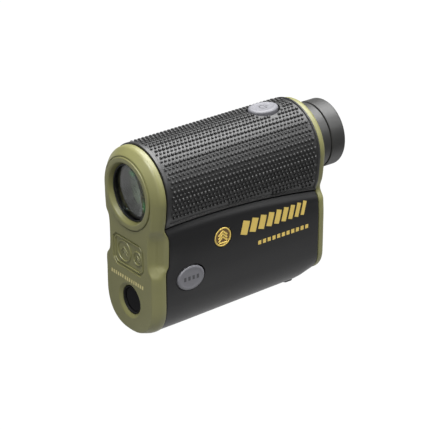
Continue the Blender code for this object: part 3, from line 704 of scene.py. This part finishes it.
def closed_loft(name, rings):
    """Solid through mirrored half outlines, each with its y and its share of the seam's swell."""
    bm = bmesh.new()
    loops = [[bm.verts.new(p) for p in placed(mirror_path(path), y, share)]
             for path, y, share in rings]
    bridge(bm, loops)
    bm.faces.new(loops[0])
    bm.faces.new(loops[-1])
    return as_object(name, bm)


def make_housing(side):
    """One half shell; side is +1 for +X and -1 for -X."""
    stations = []
    for y in body_stations(2.5):
        pair = []
        for upper_depth, lower_depth, drop in ((SHELL_FRONT, end_inset(y), 0.0),
                                               (SHELL_BACK, LOWER_WALL, 2.0)):
            waist = waist_z(y)
            upper = [(x, max(z, waist - drop)) for x, z in offset_path(upper_path(y), upper_depth)]
            lower = [(x, min(z, waist - drop - GAP))
                     for x, z in offset_path(lower_path(y), lower_depth)]
            path = [(side * max(x, GAP / 4), z) for x, z in upper + lower]
            pair.append(placed(path, y, front_share(y)))
        stations.append(pair)
    name = "housing_left" if side > 0 else "housing_right"
    shell = loft_shell(name + "_shell", stations)
    combine(shell, oval(POWER_AT, (5.5, 7.0), POWER_WELL, "Z"))
    if side > 0:
        lip = span("mode_button", X)[1] - 0.35
        combine(shell, oval(MODE_AT, (6.6, 5.4), ((14.8, 0.0), (lip - 0.5, 0.0), (lip + 0.5, -0.5),
                                                 (20.0, -0.5)), "X"))
        seat = span("side_medallion", X)[0] - GAP
        combine(shell, oval(MEDALLION_AT, (4.25, 4.25), ((seat, 0.0), (20.0, 0.0)), "X"))
    dress(shell, "black_polymer", stands_for=name)


# ---- grip
FLANK_START = LOBE_R * pi / 2


def grip_point(s, y, height):
    """Point s millimetres round from the top of the lobe, at a height above it."""
    if abs(s) <= FLANK_START:
        a = s / LOBE_R
        reach = LOBE_R + height
        return (reach * sin(a), y, OPTICAL_Z + reach * cos(a))
    z = OPTICAL_Z - (abs(s) - FLANK_START)
    step = 0.2
    slope = (side_x(y, z + step) - side_x(y, z - step)) / (2 * step)
    size = hypot(1.0, slope)
    x = side_x(y, z) + height / size
    return (x if s > 0 else -x, y, z - height * slope / size)


def flank_length(y):
    """Distance round the grip from the top to its lower lip."""
    return FLANK_START + OPTICAL_Z - waist_z(y) - GAP


def grip_height(s, y):
    """Skin height: a raised border round a lower field."""
    def rise(distance, width, slope):
        return 1.0 - ease((distance - width) / slope)

    front = rise(y - BODY_FRONT_Y, *FRONT_BORDER)
    rear = rise(BODY_REAR_Y - y, *REAR_BORDER)
    lip = rise(flank_length(y) - abs(s), *REAR_BORDER)
    return GRIP_FIELD + (GRIP_BORDER - GRIP_FIELD) * max(front, rear, lip) - end_inset(y)


def stud_mesh(studs):
    """Vertices and faces of studs with a steep front and a sloping back."""
    sides = STUD_SIDES
    rings = ((1.0, 0.0, 0.0), (0.84, 0.5, 0.4), (0.60, 0.9, 0.86), (0.36, 1.0, 1.0))
    verts, faces = [], []
    angles = np.linspace(0.0, 2 * pi, sides, endpoint=False)
    for s0, y0, (length, width, crown) in studs:
        base = len(verts)
        for size, rise, lean in rings:
            height = GRIP_FIELD - 0.05 + (crown - GRIP_FIELD + 0.05) * rise
            for a in angles:
                c, d = cos(a), sin(a)
                square = size * (abs(c) ** 2.5 + abs(d) ** 2.5) ** (-1 / 2.5)
                across = width / 2 * square * d
                along = length / 2 * square * c - STUD_LEAN * length * lean
                verts.append(grip_point(s0 + across, y0 + along, height))
        for r in range(len(rings) - 1):
            for i in range(sides):
                j = (i + 1) % sides
                low, high = base + r * sides, base + (r + 1) * sides
                faces.append((low + i, low + j, high + j, high + i))
        faces.append(tuple(base + (len(rings) - 1) * sides + i for i in range(sides)))
        faces.append(tuple(base + i for i in range(sides - 1, -1, -1)))
    return verts, faces


def clear_of_power_button(s, y, margin):
    x = grip_point(s, y, 0.0)[0]
    return hypot((x - POWER_AT[0]) / (5.7 + margin), (y - POWER_AT[1]) / (7.2 + margin)) > 1.0


def stud_layout():
    """Staggered rows of tall and short studs along the body, inside the grip's border."""
    pitch = ROW_ANGLE * LOBE_R
    studs = []
    for row in range(int(flank_length(BODY_REAR_Y) / pitch)):
        size = TALL_STUD if row % 2 else SHORT_STUD
        first = BODY_FRONT_Y + STUDS_FROM + (COLUMN_PITCH / 2 if row % 2 else 0.0)
        for y in np.arange(first, BODY_REAR_Y - STUDS_TO, COLUMN_PITCH):
            for s in ((row + 0.5) * pitch, -(row + 0.5) * pitch):
                inside = abs(s) < flank_length(float(y)) - STUDS_ABOVE
                if inside and clear_of_power_button(s, y, 0.6):
                    studs.append((s, float(y), size))
    return studs


def make_grip():
    """Armour sleeve: a skin with a border, studs and lengthwise ribs."""
    stations = []
    y_list = body_stations(1.5)
    for front, rear in ((0.0, 0.0), (0.3, 0.25), (0.7, 0.625), (1.0, 1.0)):  # shares of the slopes
        y_list += [BODY_FRONT_Y + FRONT_BORDER[0] + FRONT_BORDER[1] * front,
                   BODY_REAR_Y - REAR_BORDER[0] - REAR_BORDER[1] * rear]
    for y in sorted(set(y_list)):
        reach = flank_length(y)
        skin = [(s, 0.0) for s in np.linspace(0.0, reach - 1.4, 56)]
        skin += [(reach - back, drop) for back, drop in GRIP_EDGE]
        outer_half = [grip_point(s, y, grip_height(s, y) - drop) for s, drop in skin]
        inner_half = [grip_point(s, y, -ARMOUR_BACK) for s, drop in skin]
        pair = []
        for half in (outer_half, inner_half):
            low = waist_z(y) + GAP
            full = [(-x, max(z, low)) for x, _, z in half[:0:-1]]
            full += [(x, max(z, low)) for x, _, z in half]
            pair.append(placed(full, y, front_share(y)))
        stations.append(pair)
    sleeve = loft_shell("grip_sleeve", stations)
    combine(sleeve, oval(POWER_AT, (5.75, 7.25), POWER_WELL, "Z"))
    dress(sleeve, "grip_rubber", stands_for="grip_armor")

    verts, faces = stud_mesh(stud_layout())
    mesh = bpy.data.meshes.new("grip_studs")
    mesh.from_pydata([Vector(v) * MM for v in verts], [], faces)
    studs = bpy.data.objects.new("grip_studs", mesh)
    bpy.context.scene.collection.objects.link(studs)
    dress(studs, "grip_rubber", stands_for="grip_armor", smooth=60.0)
    make_grip_ribs()


def make_grip_ribs():
    """Smooth lengthwise ribs between rows of studs."""
    starts = [side * row * ROW_ANGLE * LOBE_R for row in RIB_ROWS for side in (-1, 1)]
    along = np.linspace(BODY_FRONT_Y + 1.6, BODY_REAR_Y - 0.9, 40)
    ribs = lines([[(s, y) for y in along] for s in starts], ridge_section(0.5, 0.22),
                 lambda s, y, up: grip_point(s, y, GRIP_FIELD + up))
    add("grip_ribs", merged(ribs), "grip_rubber")


# ---- front bezel: half width against height, one row for each depth
BEZEL_LEVELS = (51.5, 47.3, 45.2, 43.0, 37.5, 32.0, 30.3, 28.3, 22.0, 16.0)
BEZEL_STATIONS = (
    (FACE_Y, 15.0, 0.6, (14.8, 14.3, 12.9, 12.5, 12.3, 12.5, 12.9, 14.5, 14.7, 14.7)),
    (-46.0, 17.0, 0.2, (16.3, 15.6, 14.2, 13.6, 13.4, 13.6, 14.6, 16.0, 16.15, 16.15)),
    (-45.4, 17.55, 0.1, (16.8, 16.1, 14.7, 14.0, 13.9, 14.1, 15.2, 16.35, 16.5, 16.5)),
    (-44.8, 17.87, 0.0, (17.1, 16.4, 15.2, 14.5, 14.3, 14.5, 15.7, 16.6, 16.75, 16.75)),
    (-44.2, 18.0, 0.0, (17.3, 16.6, 15.7, 15.1, 14.9, 15.1, 16.2, 16.75, 16.85, 16.85)),
    (-43.5, 18.0, 0.0, (17.3, 16.7, 16.3, 15.9, 15.6, 15.7, 16.6, 16.8, 16.9, 16.9)),
    (FRONT_SEAM_Y, 18.0, 0.0, (17.3, 16.4, 17.2, 17.7, 17.7, 17.4, 17.0, 16.9, 16.9, 16.9)),
)


def bezel_station(y):
    """Lobe radius, lowest point and widths at a depth between two rows."""
    columns = [(s[1], s[2], *s[3]) for s in BEZEL_STATIONS]
    made = []
    for column in zip(*columns):
        knots = [(s[0], value) for s, value in zip(BEZEL_STATIONS, column)][::-1]
        made.append(linear(y, knots))
    return made[0], made[1], made[2:]


def bezel_path(y):
    lobe_r, bottom, widths = bezel_station(y)
    knots = [(OPTICAL_Z, lobe_r)] + list(zip(BEZEL_LEVELS, widths))
    side = [(0.45 * hermite(z, knots) + 0.55 * linear(z, knots), z)
            for z in np.linspace(OPTICAL_Z - 0.8, BEZEL_LEVELS[-1], 64)]
    return lobe_path(lobe_r) + side + corner_path(side[-1][0], BEZEL_LEVELS[-1], bottom)


def bezel_share(y):
    return 0.0 if y < -45.0 else (y + 46.2) / 3.6


def make_front_bezel():
    """Front cap with the objective ring, laser port, scoops and badge panel."""
    rings = []
    for depth, inset in ((0.0, 0.3), (0.06, 0.14), (0.18, 0.04)):
        rings.append((offset_path(bezel_path(FACE_Y + depth), inset), FACE_Y + depth, 0.0))
    for y in np.linspace(FACE_Y + 0.4, FRONT_SEAM_Y - 0.35, 20):
        rings.append((bezel_path(y), y, bezel_share(y)))
    for back, inset in ((0.15, 0.04), (0.05, 0.12), (0.0, 0.25)):
        y = FRONT_SEAM_Y - back
        rings.append((offset_path(bezel_path(y), inset), y, 1.0))
    count = len(bezel_path(FACE_Y))
    for y, source, depth, share in ((FRONT_SEAM_Y, FRONT_SEAM_Y, BEZEL_WALL, 1.0),
                                    (-45.0, -46.2, BEZEL_WALL / 2, 0.0)):
        path = offset_path(resampled(bezel_path(source), 40), depth)
        rings.append((resampled(path, count), y, share))
    bezel = closed_loft("front_bezel_shell", rings)

    mouth = [(0.0, -50.0), (14.8, -50.0), (14.8, FACE_Y + 0.4), (13.9, FACE_Y + 0.4),
             (13.9, -43.0), (0.0, -43.0)]
    combine(bezel, turned(mouth, (0.0, OPTICAL_Z)))
    port = [(0.0, -49.0), (8.1, -49.0), (7.55, FACE_Y - 0.06), (7.25, FACE_Y + 0.03),
            (7.0, FACE_Y + 0.18), (6.1, FACE_Y + 0.86), (5.95, FACE_Y + 1.02), (5.9, FACE_Y + 1.25),
            (5.9, -43.0), (0.0, -43.0)]
    combine(bezel, turned(port, (0.0, LASER_Z)))
    groove = [(14.2, -49.0), (15.0, -49.0), (14.85, FACE_Y + 0.02), (14.6, FACE_Y + 0.45),
              (14.2, FACE_Y + 0.45)]
    combine(bezel, turned(groove, (0.0, OPTICAL_Z)))
    crest = rounded([(11.6, -45.3, 0.0), (14.45, -45.3, 0.0), (14.45, CREST_Y, 0.45),
                     (12.2, CREST_Y, 0.8), (11.6, -46.3, 0.15)], 5)
    combine(bezel, turned(crest, (0.0, OPTICAL_Z)), "UNION")
    combine(bezel, panel_recess())
    dress(bezel, "olive_polymer", stands_for="front_bezel", smooth=28.0)
    make_badge_panel()
    make_port_dashes()


def ring_path(centre, radius, steps=ROUND_SMALL):
    return ellipse(centre, (radius, radius), steps)


def chevrons(centre, size, rows=2):
    """Nested peaks, as open paths."""
    x, z = centre
    return [[(x - size, z - size * 0.55 + k * size * 0.6), (x, z + size * 0.35 + k * size * 0.6),
             (x + size, z - size * 0.55 + k * size * 0.6)] for k in range(rows)]


def clipped_box(half, low, high, cut, radius=0.7):
    """Outline of a box with its corners cut off and the cuts rounded."""
    corners = [(half, low + cut), (half, high - cut), (half - cut, high), (cut - half, high),
               (-half, high - cut), (-half, low + cut), (cut - half, low), (half - cut, low)]
    return [(PANEL_X + a, b) for a, b in rounded([(*corner, radius) for corner in corners])]


def panel_outline(inset):
    return clipped_box(PANEL_HALF - inset, PANEL_LOW + inset, PANEL_HIGH - inset, 2.2 - 0.6 * inset)


def panel_recess():
    """Cutter for the sunken panel, with a slightly sloping wall."""
    return stack([(panel_outline(-0.15), FACE_Y - 0.5), (panel_outline(-0.1), FACE_Y),
                  (panel_outline(0.05), FACE_Y + 0.12), (panel_outline(0.2), FACE_Y + PANEL_DEPTH)], "Y")


def make_badge_panel():
    """Raised frame and two plain round emblems on the sunken panel."""
    lift = raised("Y", FACE_Y + PANEL_DEPTH, -1)
    parts = lines([panel_outline(1.15)], ridge_section(0.75, 0.45), lift, True)
    for centre, radius in EMBLEMS:
        parts += lines([ring_path(centre, radius)], ridge_section(0.6, 0.4), lift, True)
        peaks = chevrons((centre[0], centre[1] - radius * 0.1), radius * 0.5)
        parts += lines(peaks, ridge_section(0.5, 0.34), lift)
    add("badge_panel", merged(parts), "olive_polymer", stands_for="front_bezel")


def make_port_dashes():
    """Two groups of plain dashes printed above the laser port."""
    starts = [float(x) for group in ((-11.4, -4.0), (-2.6, 9.9)) for x in np.arange(*group, 1.42)]
    dashes = lines([[(x, 21.25), (x + 0.22, 22.75)] for x in starts], flat_section(0.85, 0.05, 0.02),
                   raised("Y", FACE_Y, -1))
    add("port_dashes", merged(dashes), "gilt_faint", slot="gold_print")


# ---- rear bezel and foot
def make_rear_bezel():
    """Rear band and wall, with the eyepiece and door openings."""
    side = flank_path(REAR_SEAM_Y, OPTICAL_Z - 0.5, CORNER_Z, 60)
    corner = corner_path(side[-1][0], CORNER_Z, bottom_z(REAR_SEAM_Y))
    base = resampled(lobe_path(LOBE_R) + side + corner, 130)
    depths = ((32.4, BEZEL_WALL), (REAR_SEAM_Y, BEZEL_WALL), (REAR_SEAM_Y, 0.25),
              (REAR_SEAM_Y + 0.05, 0.12), (REAR_SEAM_Y + 0.15, 0.04), (REAR_SEAM_Y + 0.35, 0.0),
              (33.2, 0.0), (33.7, 0.08), (34.1, 0.28), (34.35, 0.55), (REAR_FACE_Y, 0.95))
    bezel = closed_loft("rear_bezel_shell", [(offset_path(base, depth), y, 0.0) for y, depth in depths])
    hole = [(0.0, 31.0), (13.7, 31.0), (13.7, 34.1), (14.2, 34.6), (14.2, 36.0), (0.0, 36.0)]
    combine(bezel, turned(hole, (0.0, EYE_Z)))
    door_low, door_high = span("battery_door", X)
    half = (door_high - door_low) / 2 + GAP
    combine(bezel, extruded(box_outline(half, 11.3, 37.9, 4.0), 31.0, 36.0, "Y"))
    for x0, x1 in ((-8.0, -4.0), (4.0, 8.0)):
        combine(bezel, knuckle(x0, x1, REAR_FACE_Y - 0.6), "UNION")
    combine(bezel, extruded(ring_path((HINGE_Y, HINGE_Z), PIN_HOLE_R, 24), -9.0, 9.0, "X"))
    for spot in SCREW_SPOTS:
        well = [(0.0, 31.0), (1.0, 31.0), (1.0, 33.3), (1.9, 33.3), (1.9, 34.3), (2.1, 34.6),
                (2.1, 36.0), (0.0, 36.0)]
        combine(bezel, turned(well, spot, 32))
    dress(bezel, "olive_polymer", stands_for="rear_bezel", smooth=28.0)


def knuckle_arc(start, steps=17):
    """Half a turn round the hinge."""
    return [(HINGE_Y + KNUCKLE_R * cos(a), HINGE_Z + KNUCKLE_R * sin(a))
            for a in np.linspace(start, start + pi, steps)]


def knuckle(x0, x1, wall_y):
    """Hinge barrel with a web that runs forward into the wall."""
    barrel = knuckle_arc(-pi / 2)
    outline = barrel + [(wall_y, HINGE_Z - GAP), (wall_y, HINGE_Z - KNUCKLE_R)]
    return extruded(outline, x0, x1, "X")


def make_rear_foot():
    """Moulded pad with a gentle ramp at the front and treads across it."""
    sections = []
    for y, low, half in ((20.9, 1.75, 4.2), (21.4, 1.35, 4.7), (23.2, 0.72, 5.1), (25.0, 0.08, 5.4),
                         (25.4, 0.0, 5.4), (27.9, 0.0, 5.4), (28.4, 0.15, 5.3), (29.0, 0.75, 4.9),
                         (30.2, 2.6, 4.0)):
        top = bottom_z(y) + 0.7
        outline = rounded([(half, low, 0.45), (half, top, 0.0),
                           (-half, top, 0.0), (-half, low, 0.45)], 5)
        sections.append((outline, y))
    foot = as_object("rear_foot_pad", stack(sections, "Y"))
    for y in (25.9, 26.7, 27.5):
        groove = rounded([(y - 0.15, -0.2, 0.0), (y + 0.15, -0.2, 0.0), (y + 0.1, 0.22, 0.05),
                          (y - 0.1, 0.22, 0.05)], 3)
        combine(foot, extruded(groove, -4.4, 4.4, "X"))
    dress(foot, "black_polymer", stands_for="rear_foot")


# ------------------------------------------------------------------ controls
def make_power_button():
    """Crowned cap whose middle is dished, with the plain power symbol in the dish."""
    low, top = span("power_button", Z)
    levels = [(low, 0.0), (top - 1.0, 0.0), (top - 0.62, 0.1), (top - 0.32, 0.34), (top - 0.12, 0.72),
              (top, 1.15), (top - 0.02, 1.5), (top - 0.14, 1.9), (top - 0.2, 2.6)]
    add("power_button_cap", oval(POWER_AT, (5.0, 6.5), levels, "Z"), "button_grey",
        "power_button", "power_button", smooth=45.0)
    x, y = POWER_AT
    start = radians(125.0)
    arc = [(x + 1.5 * cos(a), y + 1.5 * sin(a))
           for a in np.linspace(start, start + radians(290.0), 28)]
    bar = [(x, y + 0.5), (x, y + 2.2)]
    marks = lines((arc, bar), flat_section(0.42, 0.04), raised("Z", top - 0.2))
    add("power_button_mark", merged(marks), "switch_body", "power_button")


def make_mode_button():
    """Flat cap with a rounded rim, and four plain bars on it."""
    low, face = span("mode_button", X)
    levels = [(low, 0.0), (face - 0.75, 0.0), (face - 0.45, 0.06), (face - 0.2, 0.22),
              (face - 0.06, 0.5), (face, 0.85), (face - 0.03, 1.15), (face - 0.1, 1.4),
              (face - 0.12, 2.0)]
    add("mode_button_cap", oval(MODE_AT, (6.3, 5.1), levels, "X"), "button_grey",
        "mode_button", "mode_button", smooth=45.0)
    y, z = MODE_AT
    bars = [[(y + k * 2.0, z - 0.85), (y + k * 2.0, z + 0.85)] for k in (-1.5, -0.5, 0.5, 1.5)]
    marks = lines(bars, flat_section(1.1, 0.04), raised("X", face - 0.12))
    add("mode_button_mark", merged(marks), "switch_body", "mode_button")


def make_medallion():
    """Round gilt inset with a rim and plain peaks."""
    low, face = span("side_medallion", X)
    levels = [(low, 0.0), (face - 0.4, 0.0), (face - 0.25, 0.1)]
    add("medallion_disc", oval(MEDALLION_AT, (4.0, 4.0), levels, "X"), "gilt_recess",
        stands_for="side_medallion", slot="gold_print")
    lift = raised("X", face - 0.25)
    y, z = MEDALLION_AT
    rim = lines([ring_path(MEDALLION_AT, 3.66, 64)], ridge_section(0.62, 0.24, 0.05), lift, True)
    peaks = lines(chevrons((y, z - 0.7), 2.0, rows=3), ridge_section(0.78, 0.22, 0.05), lift)
    base = lines([[(y - 1.9, z - 2.5), (y + 1.9, z - 2.5)]], ridge_section(0.6, 0.22, 0.05), lift)
    add("medallion_relief", merged(rim + peaks + base), "gold_print")


def side_lift(a, b, up):
    """A lift for lines that follow the lower body's +X side."""
    return (side_x(a, b) + up, a, b)


def make_side_stripes():
    """Plain slanted bars over a dashed rule, printed on the +X side."""
    parts = []
    start = -8.0
    for number in range(9):
        width = 3.3 - 0.2 * number
        path = [(start + width / 2 + 0.32 * (z - 35.7), z) for z in np.linspace(35.7, 41.1, 10)]
        parts.append(swept(path, flat_section(width, 0.08), side_lift, False))
        start += width + 1.15
    dashes = [[(0.9 + 2.36 * number + along, 30.0) for along in (0.0, 0.75, 1.5)]
              for number in range(11)]
    parts += lines(dashes, flat_section(1.7, 0.08), side_lift)
    add("side_stripes", merged(parts), "gold_print", smooth=50.0)


# -------------------------------------------------------------------- optics
def sag(radius, curve):
    return curve - sqrt(curve ** 2 - radius ** 2)


def lens(radius, y_front, y_back, front_curve, back_curve, steps=14):
    """Outline of a biconvex lens whose edge runs from y_front to y_back."""
    parts = np.linspace(0.0, 1.0, steps)
    front = [(radius * t, y_front - sag(radius, front_curve) + sag(radius * t, front_curve))
             for t in parts]
    back = [(radius * t, y_back + sag(radius, back_curve) - sag(radius * t, back_curve))
            for t in parts[::-1]]
    return front + back


def blacken_edge(piece):
    """Black lacquer on a lens's ground edge."""
    piece.data.materials.append(FINISH["seal_rubber"])
    for face in piece.data.polygons:
        if abs(face.normal.y) < 0.3:
            face.material_index = 1


def baffled_tube(inner, outer, y0, y1, pitch=1.0, depth=0.22):
    """Outline of a tube whose bore carries saw-tooth light baffles."""
    bore = []
    for y in np.arange(y1, y0 + pitch, -pitch):
        bore += [(inner, float(y)), (inner + depth, float(y) - pitch * 0.92)]
    return [(inner, y0), (outer, y0), (outer, y1)] + bore


def make_objective():
    """Retaining ring, barrel and two lenses with blackened edges."""
    axis = (0.0, OPTICAL_Z)
    retainer = rounded([(10.8, -46.6, 0.15), (11.3, -46.6, 0.1), (11.3, -45.8, 0.0), (10.9, -45.8, 0.0)])
    add("objective_retainer_ring", turned(retainer, axis), "black_anodised",
        stands_for="objective_retainer")
    add("objective_barrel", turned(baffled_tube(11.6, 13.0, -44.7, -22.0), axis), "black_anodised",
        stands_for="objective_cell")
    for end, outline, finish in (
            ("front", lens(11.3, -45.5, -42.1, 120.0, 70.0), "objective_glass_painted_glints"),
            ("rear", lens(11.3, -39.7, -37.3, 120.0, 200.0), "green_coated_glass")):
        blacken_edge(add(f"objective_glass_painted_glints_{end}", turned(outline, axis), finish,
                         stands_for=f"objective_lens_{end}", slot="coated_glass"))


def make_eyepiece():
    """Fixed sleeve, turning focus ring and eyecup, and the ocular that slides inside."""
    sleeve = rounded([(10.7, 27.0, 0.0), (12.4, 27.0, 0.0), (12.4, 31.6, 0.0), (13.4, 31.8, 0.0),
                      (13.4, 41.2, 0.35), (10.7, 41.2, 0.1)])
    ring = rounded([(9.6, 28.5, 0.0), (10.4, 28.5, 0.0), (10.4, 41.5, 0.0), (12.5, 41.5, 0.0),
                    (12.5, 46.2, 0.2), (9.6, 46.2, 0.3)])
    cup = rounded([(12.8, 41.5, 0.0), (13.65, 41.5, 0.35), (13.65, RIM_Y, 0.9), (11.9, RIM_Y, 0.8),
                   (10.1, 46.5, 0.15), (12.8, 46.5, 0.0)], 6)
    tube = [(8.6, 29.6), (9.3, 29.6), (9.3, 42.0), (8.6, 42.0)]
    retainer = rounded([(7.0, 38.9, 0.0), (8.3, 38.9, 0.0), (8.3, 40.3, 0.2), (7.3, 40.3, 0.25)])
    eye = lens(8.3, 36.6, 38.4, 40.0, 34.0)
    field = lens(8.3, 31.2, 33.2, 60.0, 26.0)
    for name, outline, finish, body, node in (
            ("eyepiece_sleeve", sleeve, "eyecup_rubber", "root", "eyepiece_collar"),
            ("focus_ring_core", ring, "black_anodised", "focus_ring", "diopter_ring"),
            ("eyecup_rubber_ring", cup, "eyecup_rubber", "focus_ring", "eyecup"),
            ("ocular_tube", tube, "black_anodised", "ocular", "ocular_cell"),
            ("ocular_retainer_ring", retainer, "black_anodised", "ocular", "ocular_retainer"),
            ("ocular_glass_eye", eye, "coated_glass", "ocular", "ocular_lens_eye"),
            ("ocular_glass_field", field, "coated_glass", "ocular", "ocular_lens_field")):
        add(name, turned(outline, (0.0, EYE_Z)), finish, body, node)


def make_laser_window():
    """Dark window in a black sleeve that lines the port's bore."""
    axis = (0.0, LASER_Z)
    window = rounded([(0.0, -46.3, 0.0), (4.8, -46.3, 0.15), (4.8, -45.1, 0.0), (0.0, -45.1, 0.0)])
    add("laser_window_disc", turned(window, axis), "laser_window", stands_for="laser_window")
    sleeve = rounded([(5.1, -47.0, 0.2), (5.65, -47.0, 0.15), (5.65, -44.6, 0.0), (5.0, -44.6, 0.0)])
    add("laser_window_sleeve", turned(sleeve, axis), "seal_rubber", stands_for="laser_window_seal")


# --------------------------------------------------------- door and screws
def make_door():
    """Battery door with a crowned panel, grip ribs, lip and hinge knuckle."""
    low, high = 11.6, 37.6
    half = 9.4
    face = REAR_FACE_Y + 0.2
    levels = ((32.7, 0.0), (face - 0.35, 0.0), (face - 0.1, 0.1), (face, 0.35))
    panel = stack([(box_outline(half - inset, low + inset, high - inset, 3.7 - inset), y)
                   for y, inset in levels], "Y")
    door = as_object("battery_door_panel", panel)
    lip = rounded([(34.0, high - 3.6, 0.0), (35.4, high - 3.4, 0.2), (36.6, high - 1.2, 0.2),
                   (36.6, high - 0.5, 0.2), (35.6, high - 0.2, 0.2), (34.0, high - 0.2, 0.0)])
    combine(door, extruded(lip, -5.0, 5.0, "X"), "UNION")
    web = knuckle_arc(-3 * pi / 4)
    web += [(35.9, HINGE_Z + 3.0), (34.0, HINGE_Z + 3.0), (34.0, HINGE_Z + 0.9), (35.1, HINGE_Z + 0.6)]
    combine(door, extruded(web, -3.7, 3.7, "X"), "UNION")
    combine(door, extruded(ring_path((HINGE_Y, HINGE_Z), PIN_HOLE_R, 24), -5.0, 5.0, "X"))
    dress(door, "black_polymer", "battery_door", "battery_door")

    across = np.linspace(-5.6, 5.6, 12)
    ribs = lines([[(x, 18.5 + k * 2.0) for x in across] for k in range(7)],
                 ridge_section(0.7, 0.28), raised("Y", face))
    add("battery_door_ribs", merged(ribs), "black_polymer", "battery_door")


def make_screws():
    """Pan-head screws with a cross recess."""
    for number, spot in enumerate(SCREW_SPOTS, 1):
        seat, top = 33.6, 34.4
        head = rounded([(0.0, 26.0, 0.0), (0.8, 26.0, 0.1), (0.8, seat, 0.0), (1.7, seat, 0.0),
                        (1.7, top, 0.3), (0.0, top, 0.0)])
        screw = as_object(f"rear_screw_head_{number}", turned(head, spot, 32))
        for half_x, half_z in ((0.95, 0.2), (0.2, 0.95)):
            slot = [(spot[0] + a * half_x, spot[1] + b * half_z)
                    for a, b in ((-1, -1), (1, -1), (1, 1), (-1, 1))]
            combine(screw, extruded(slot, top - 0.45, top + 1.0, "Y"))
        dress(screw, "plated_steel", stands_for=f"rear_screw_{number}")


# ------------------------------------------------- CAD nodes that stay shown
def dress_cad_nodes():
    """Finishes for the CAD nodes that no finer piece stands for."""
    for subpart in frame["record"]["subparts"]:
        node = frame["nodes"][subpart["node"]]
        if not node.hide_render:
            node.data.materials.clear()
            node.data.materials.append(FINISH[subpart["material_slot"]])


# ------------------------------------------------------------------ studio
def make_camera():
    back = Vector((sin(AZIMUTH) * cos(ELEVATION), -cos(AZIMUTH) * cos(ELEVATION), sin(ELEVATION)))
    level = Vector((cos(AZIMUTH), sin(AZIMUTH), 0.0))
    upright = back.cross(level)
    right = cos(ROLL) * level + sin(ROLL) * upright
    up = cos(ROLL) * upright - sin(ROLL) * level
    camera = bpy.data.objects.new("camera", bpy.data.cameras.new("camera"))
    bpy.context.scene.collection.objects.link(camera)
    place = Matrix((right, up, back)).transposed().to_4x4()
    place.translation = (AIM + DISTANCE * back) * MM
    camera.matrix_world = place
    camera.data.sensor_width = SENSOR_WIDTH
    camera.data.lens = FOCAL_LENGTH
    camera.data.clip_start = 0.01
    bpy.context.scene.camera = camera


def make_softbox(name, place, size, power):
    """Rectangular area light, turned towards the object."""
    data = bpy.data.lights.new(name, "AREA")
    data.shape = "RECTANGLE"
    data.size, data.size_y = size[0] * MM, size[1] * MM
    data.energy = power
    light = bpy.data.objects.new(name, data)
    light.location = Vector(place) * MM
    direction = (Vector(LIT_POINT) - Vector(place)).normalized()
    light.rotation_mode = "QUATERNION"
    light.rotation_quaternion = direction.to_track_quat("-Z", "Y")
    bpy.context.scene.collection.objects.link(light)


def mirrored_share(paper):
    """How bright reflections see the floor, from one side of the object to the other."""
    across = paper.node("SeparateXYZ", {0: paper.place}).outputs["X"]
    share_of_width = paper.rescale(across, (-FLOOR_REACH * MM, FLOOR_REACH * MM), (0.0, 1.0))
    ramp = paper.node("ValToRGB", {"Fac": share_of_width})
    stops = ramp.color_ramp.elements
    for x, share in FLOOR_MIRRORED:
        stops.new((x / FLOOR_REACH + 1.0) / 2).color = (share, share, share, 1.0)
    stops.remove(stops[0])
    stops.remove(stops[len(stops) - 1])
    return ramp.outputs["Color"]


def make_floor():
    """Pale paper that the camera sees nearly white, and that bounces less light."""
    bm = bmesh.new()
    bmesh.ops.create_grid(bm, x_segments=2, y_segments=2, size=6000.0)
    floor = as_object("floor", bm)
    floor.location.z = -0.02 * MM
    paper = Graph((FLOOR_BOUNCE,) * 3, 0.9, Specular_IOR_Level=0.1)
    path = paper.node("LightPath")
    camera = path.outputs["Is Camera Ray"]
    glossy = paper.math("MAXIMUM", path.outputs["Is Glossy Ray"], path.outputs["Is Transmission Ray"])
    bright = paper.math("MULTIPLY_ADD", glossy, mirrored_share(paper), camera)
    glow = paper.node("Emission", {"Strength": paper.math("MULTIPLY", bright, FLOOR_GLOW)})
    seen = paper.math("MULTIPLY_ADD", camera, FLOOR_SEEN, glossy)
    mixed = paper.node("MixShader", {0: seen, 1: paper.shader.outputs[0], 2: glow.outputs[0]})
    paper.feed(paper.tree.nodes["Material Output"].inputs["Surface"], mixed.outputs[0])
    floor.data.materials.append(paper.material)


def make_surroundings():
    """Dim walls that brighten towards the ceiling, behind a pale backdrop."""
    world = bpy.data.worlds.new("studio")
    sky = Tree(world)
    direction = sky.node("TexCoord").outputs["Generated"]
    rise = sky.node("SeparateXYZ", {0: direction}).outputs["Z"]
    walls = sky.rescale(rise, (-0.1, 1.0), AMBIENT)
    camera = sky.node("LightPath").outputs["Is Camera Ray"]
    light = sky.tree.nodes["Background"].inputs
    sky.feed(light["Strength"], sky.rescale(camera, (0.0, 1.0), (walls, BACKDROP)))
    sky.feed(light["Color"], (1.0, 1.0, 1.0, 1.0))
    bpy.context.scene.world = world


def make_studio():
    make_floor()
    make_surroundings()
    for name, (place, size, power) in LIGHTS.items():
        make_softbox(name, place, size, power)


FINISH = make_finishes()
make_camera()
make_studio()
make_front_bezel()
make_housing(1)
make_housing(-1)
make_grip()
make_rear_bezel()
make_rear_foot()
make_power_button()
make_mode_button()
make_medallion()
make_side_stripes()
make_objective()
make_eyepiece()
make_laser_window()
make_door()
make_screws()
dress_cad_nodes()

bpy.context.scene.view_settings.view_transform = "Standard"
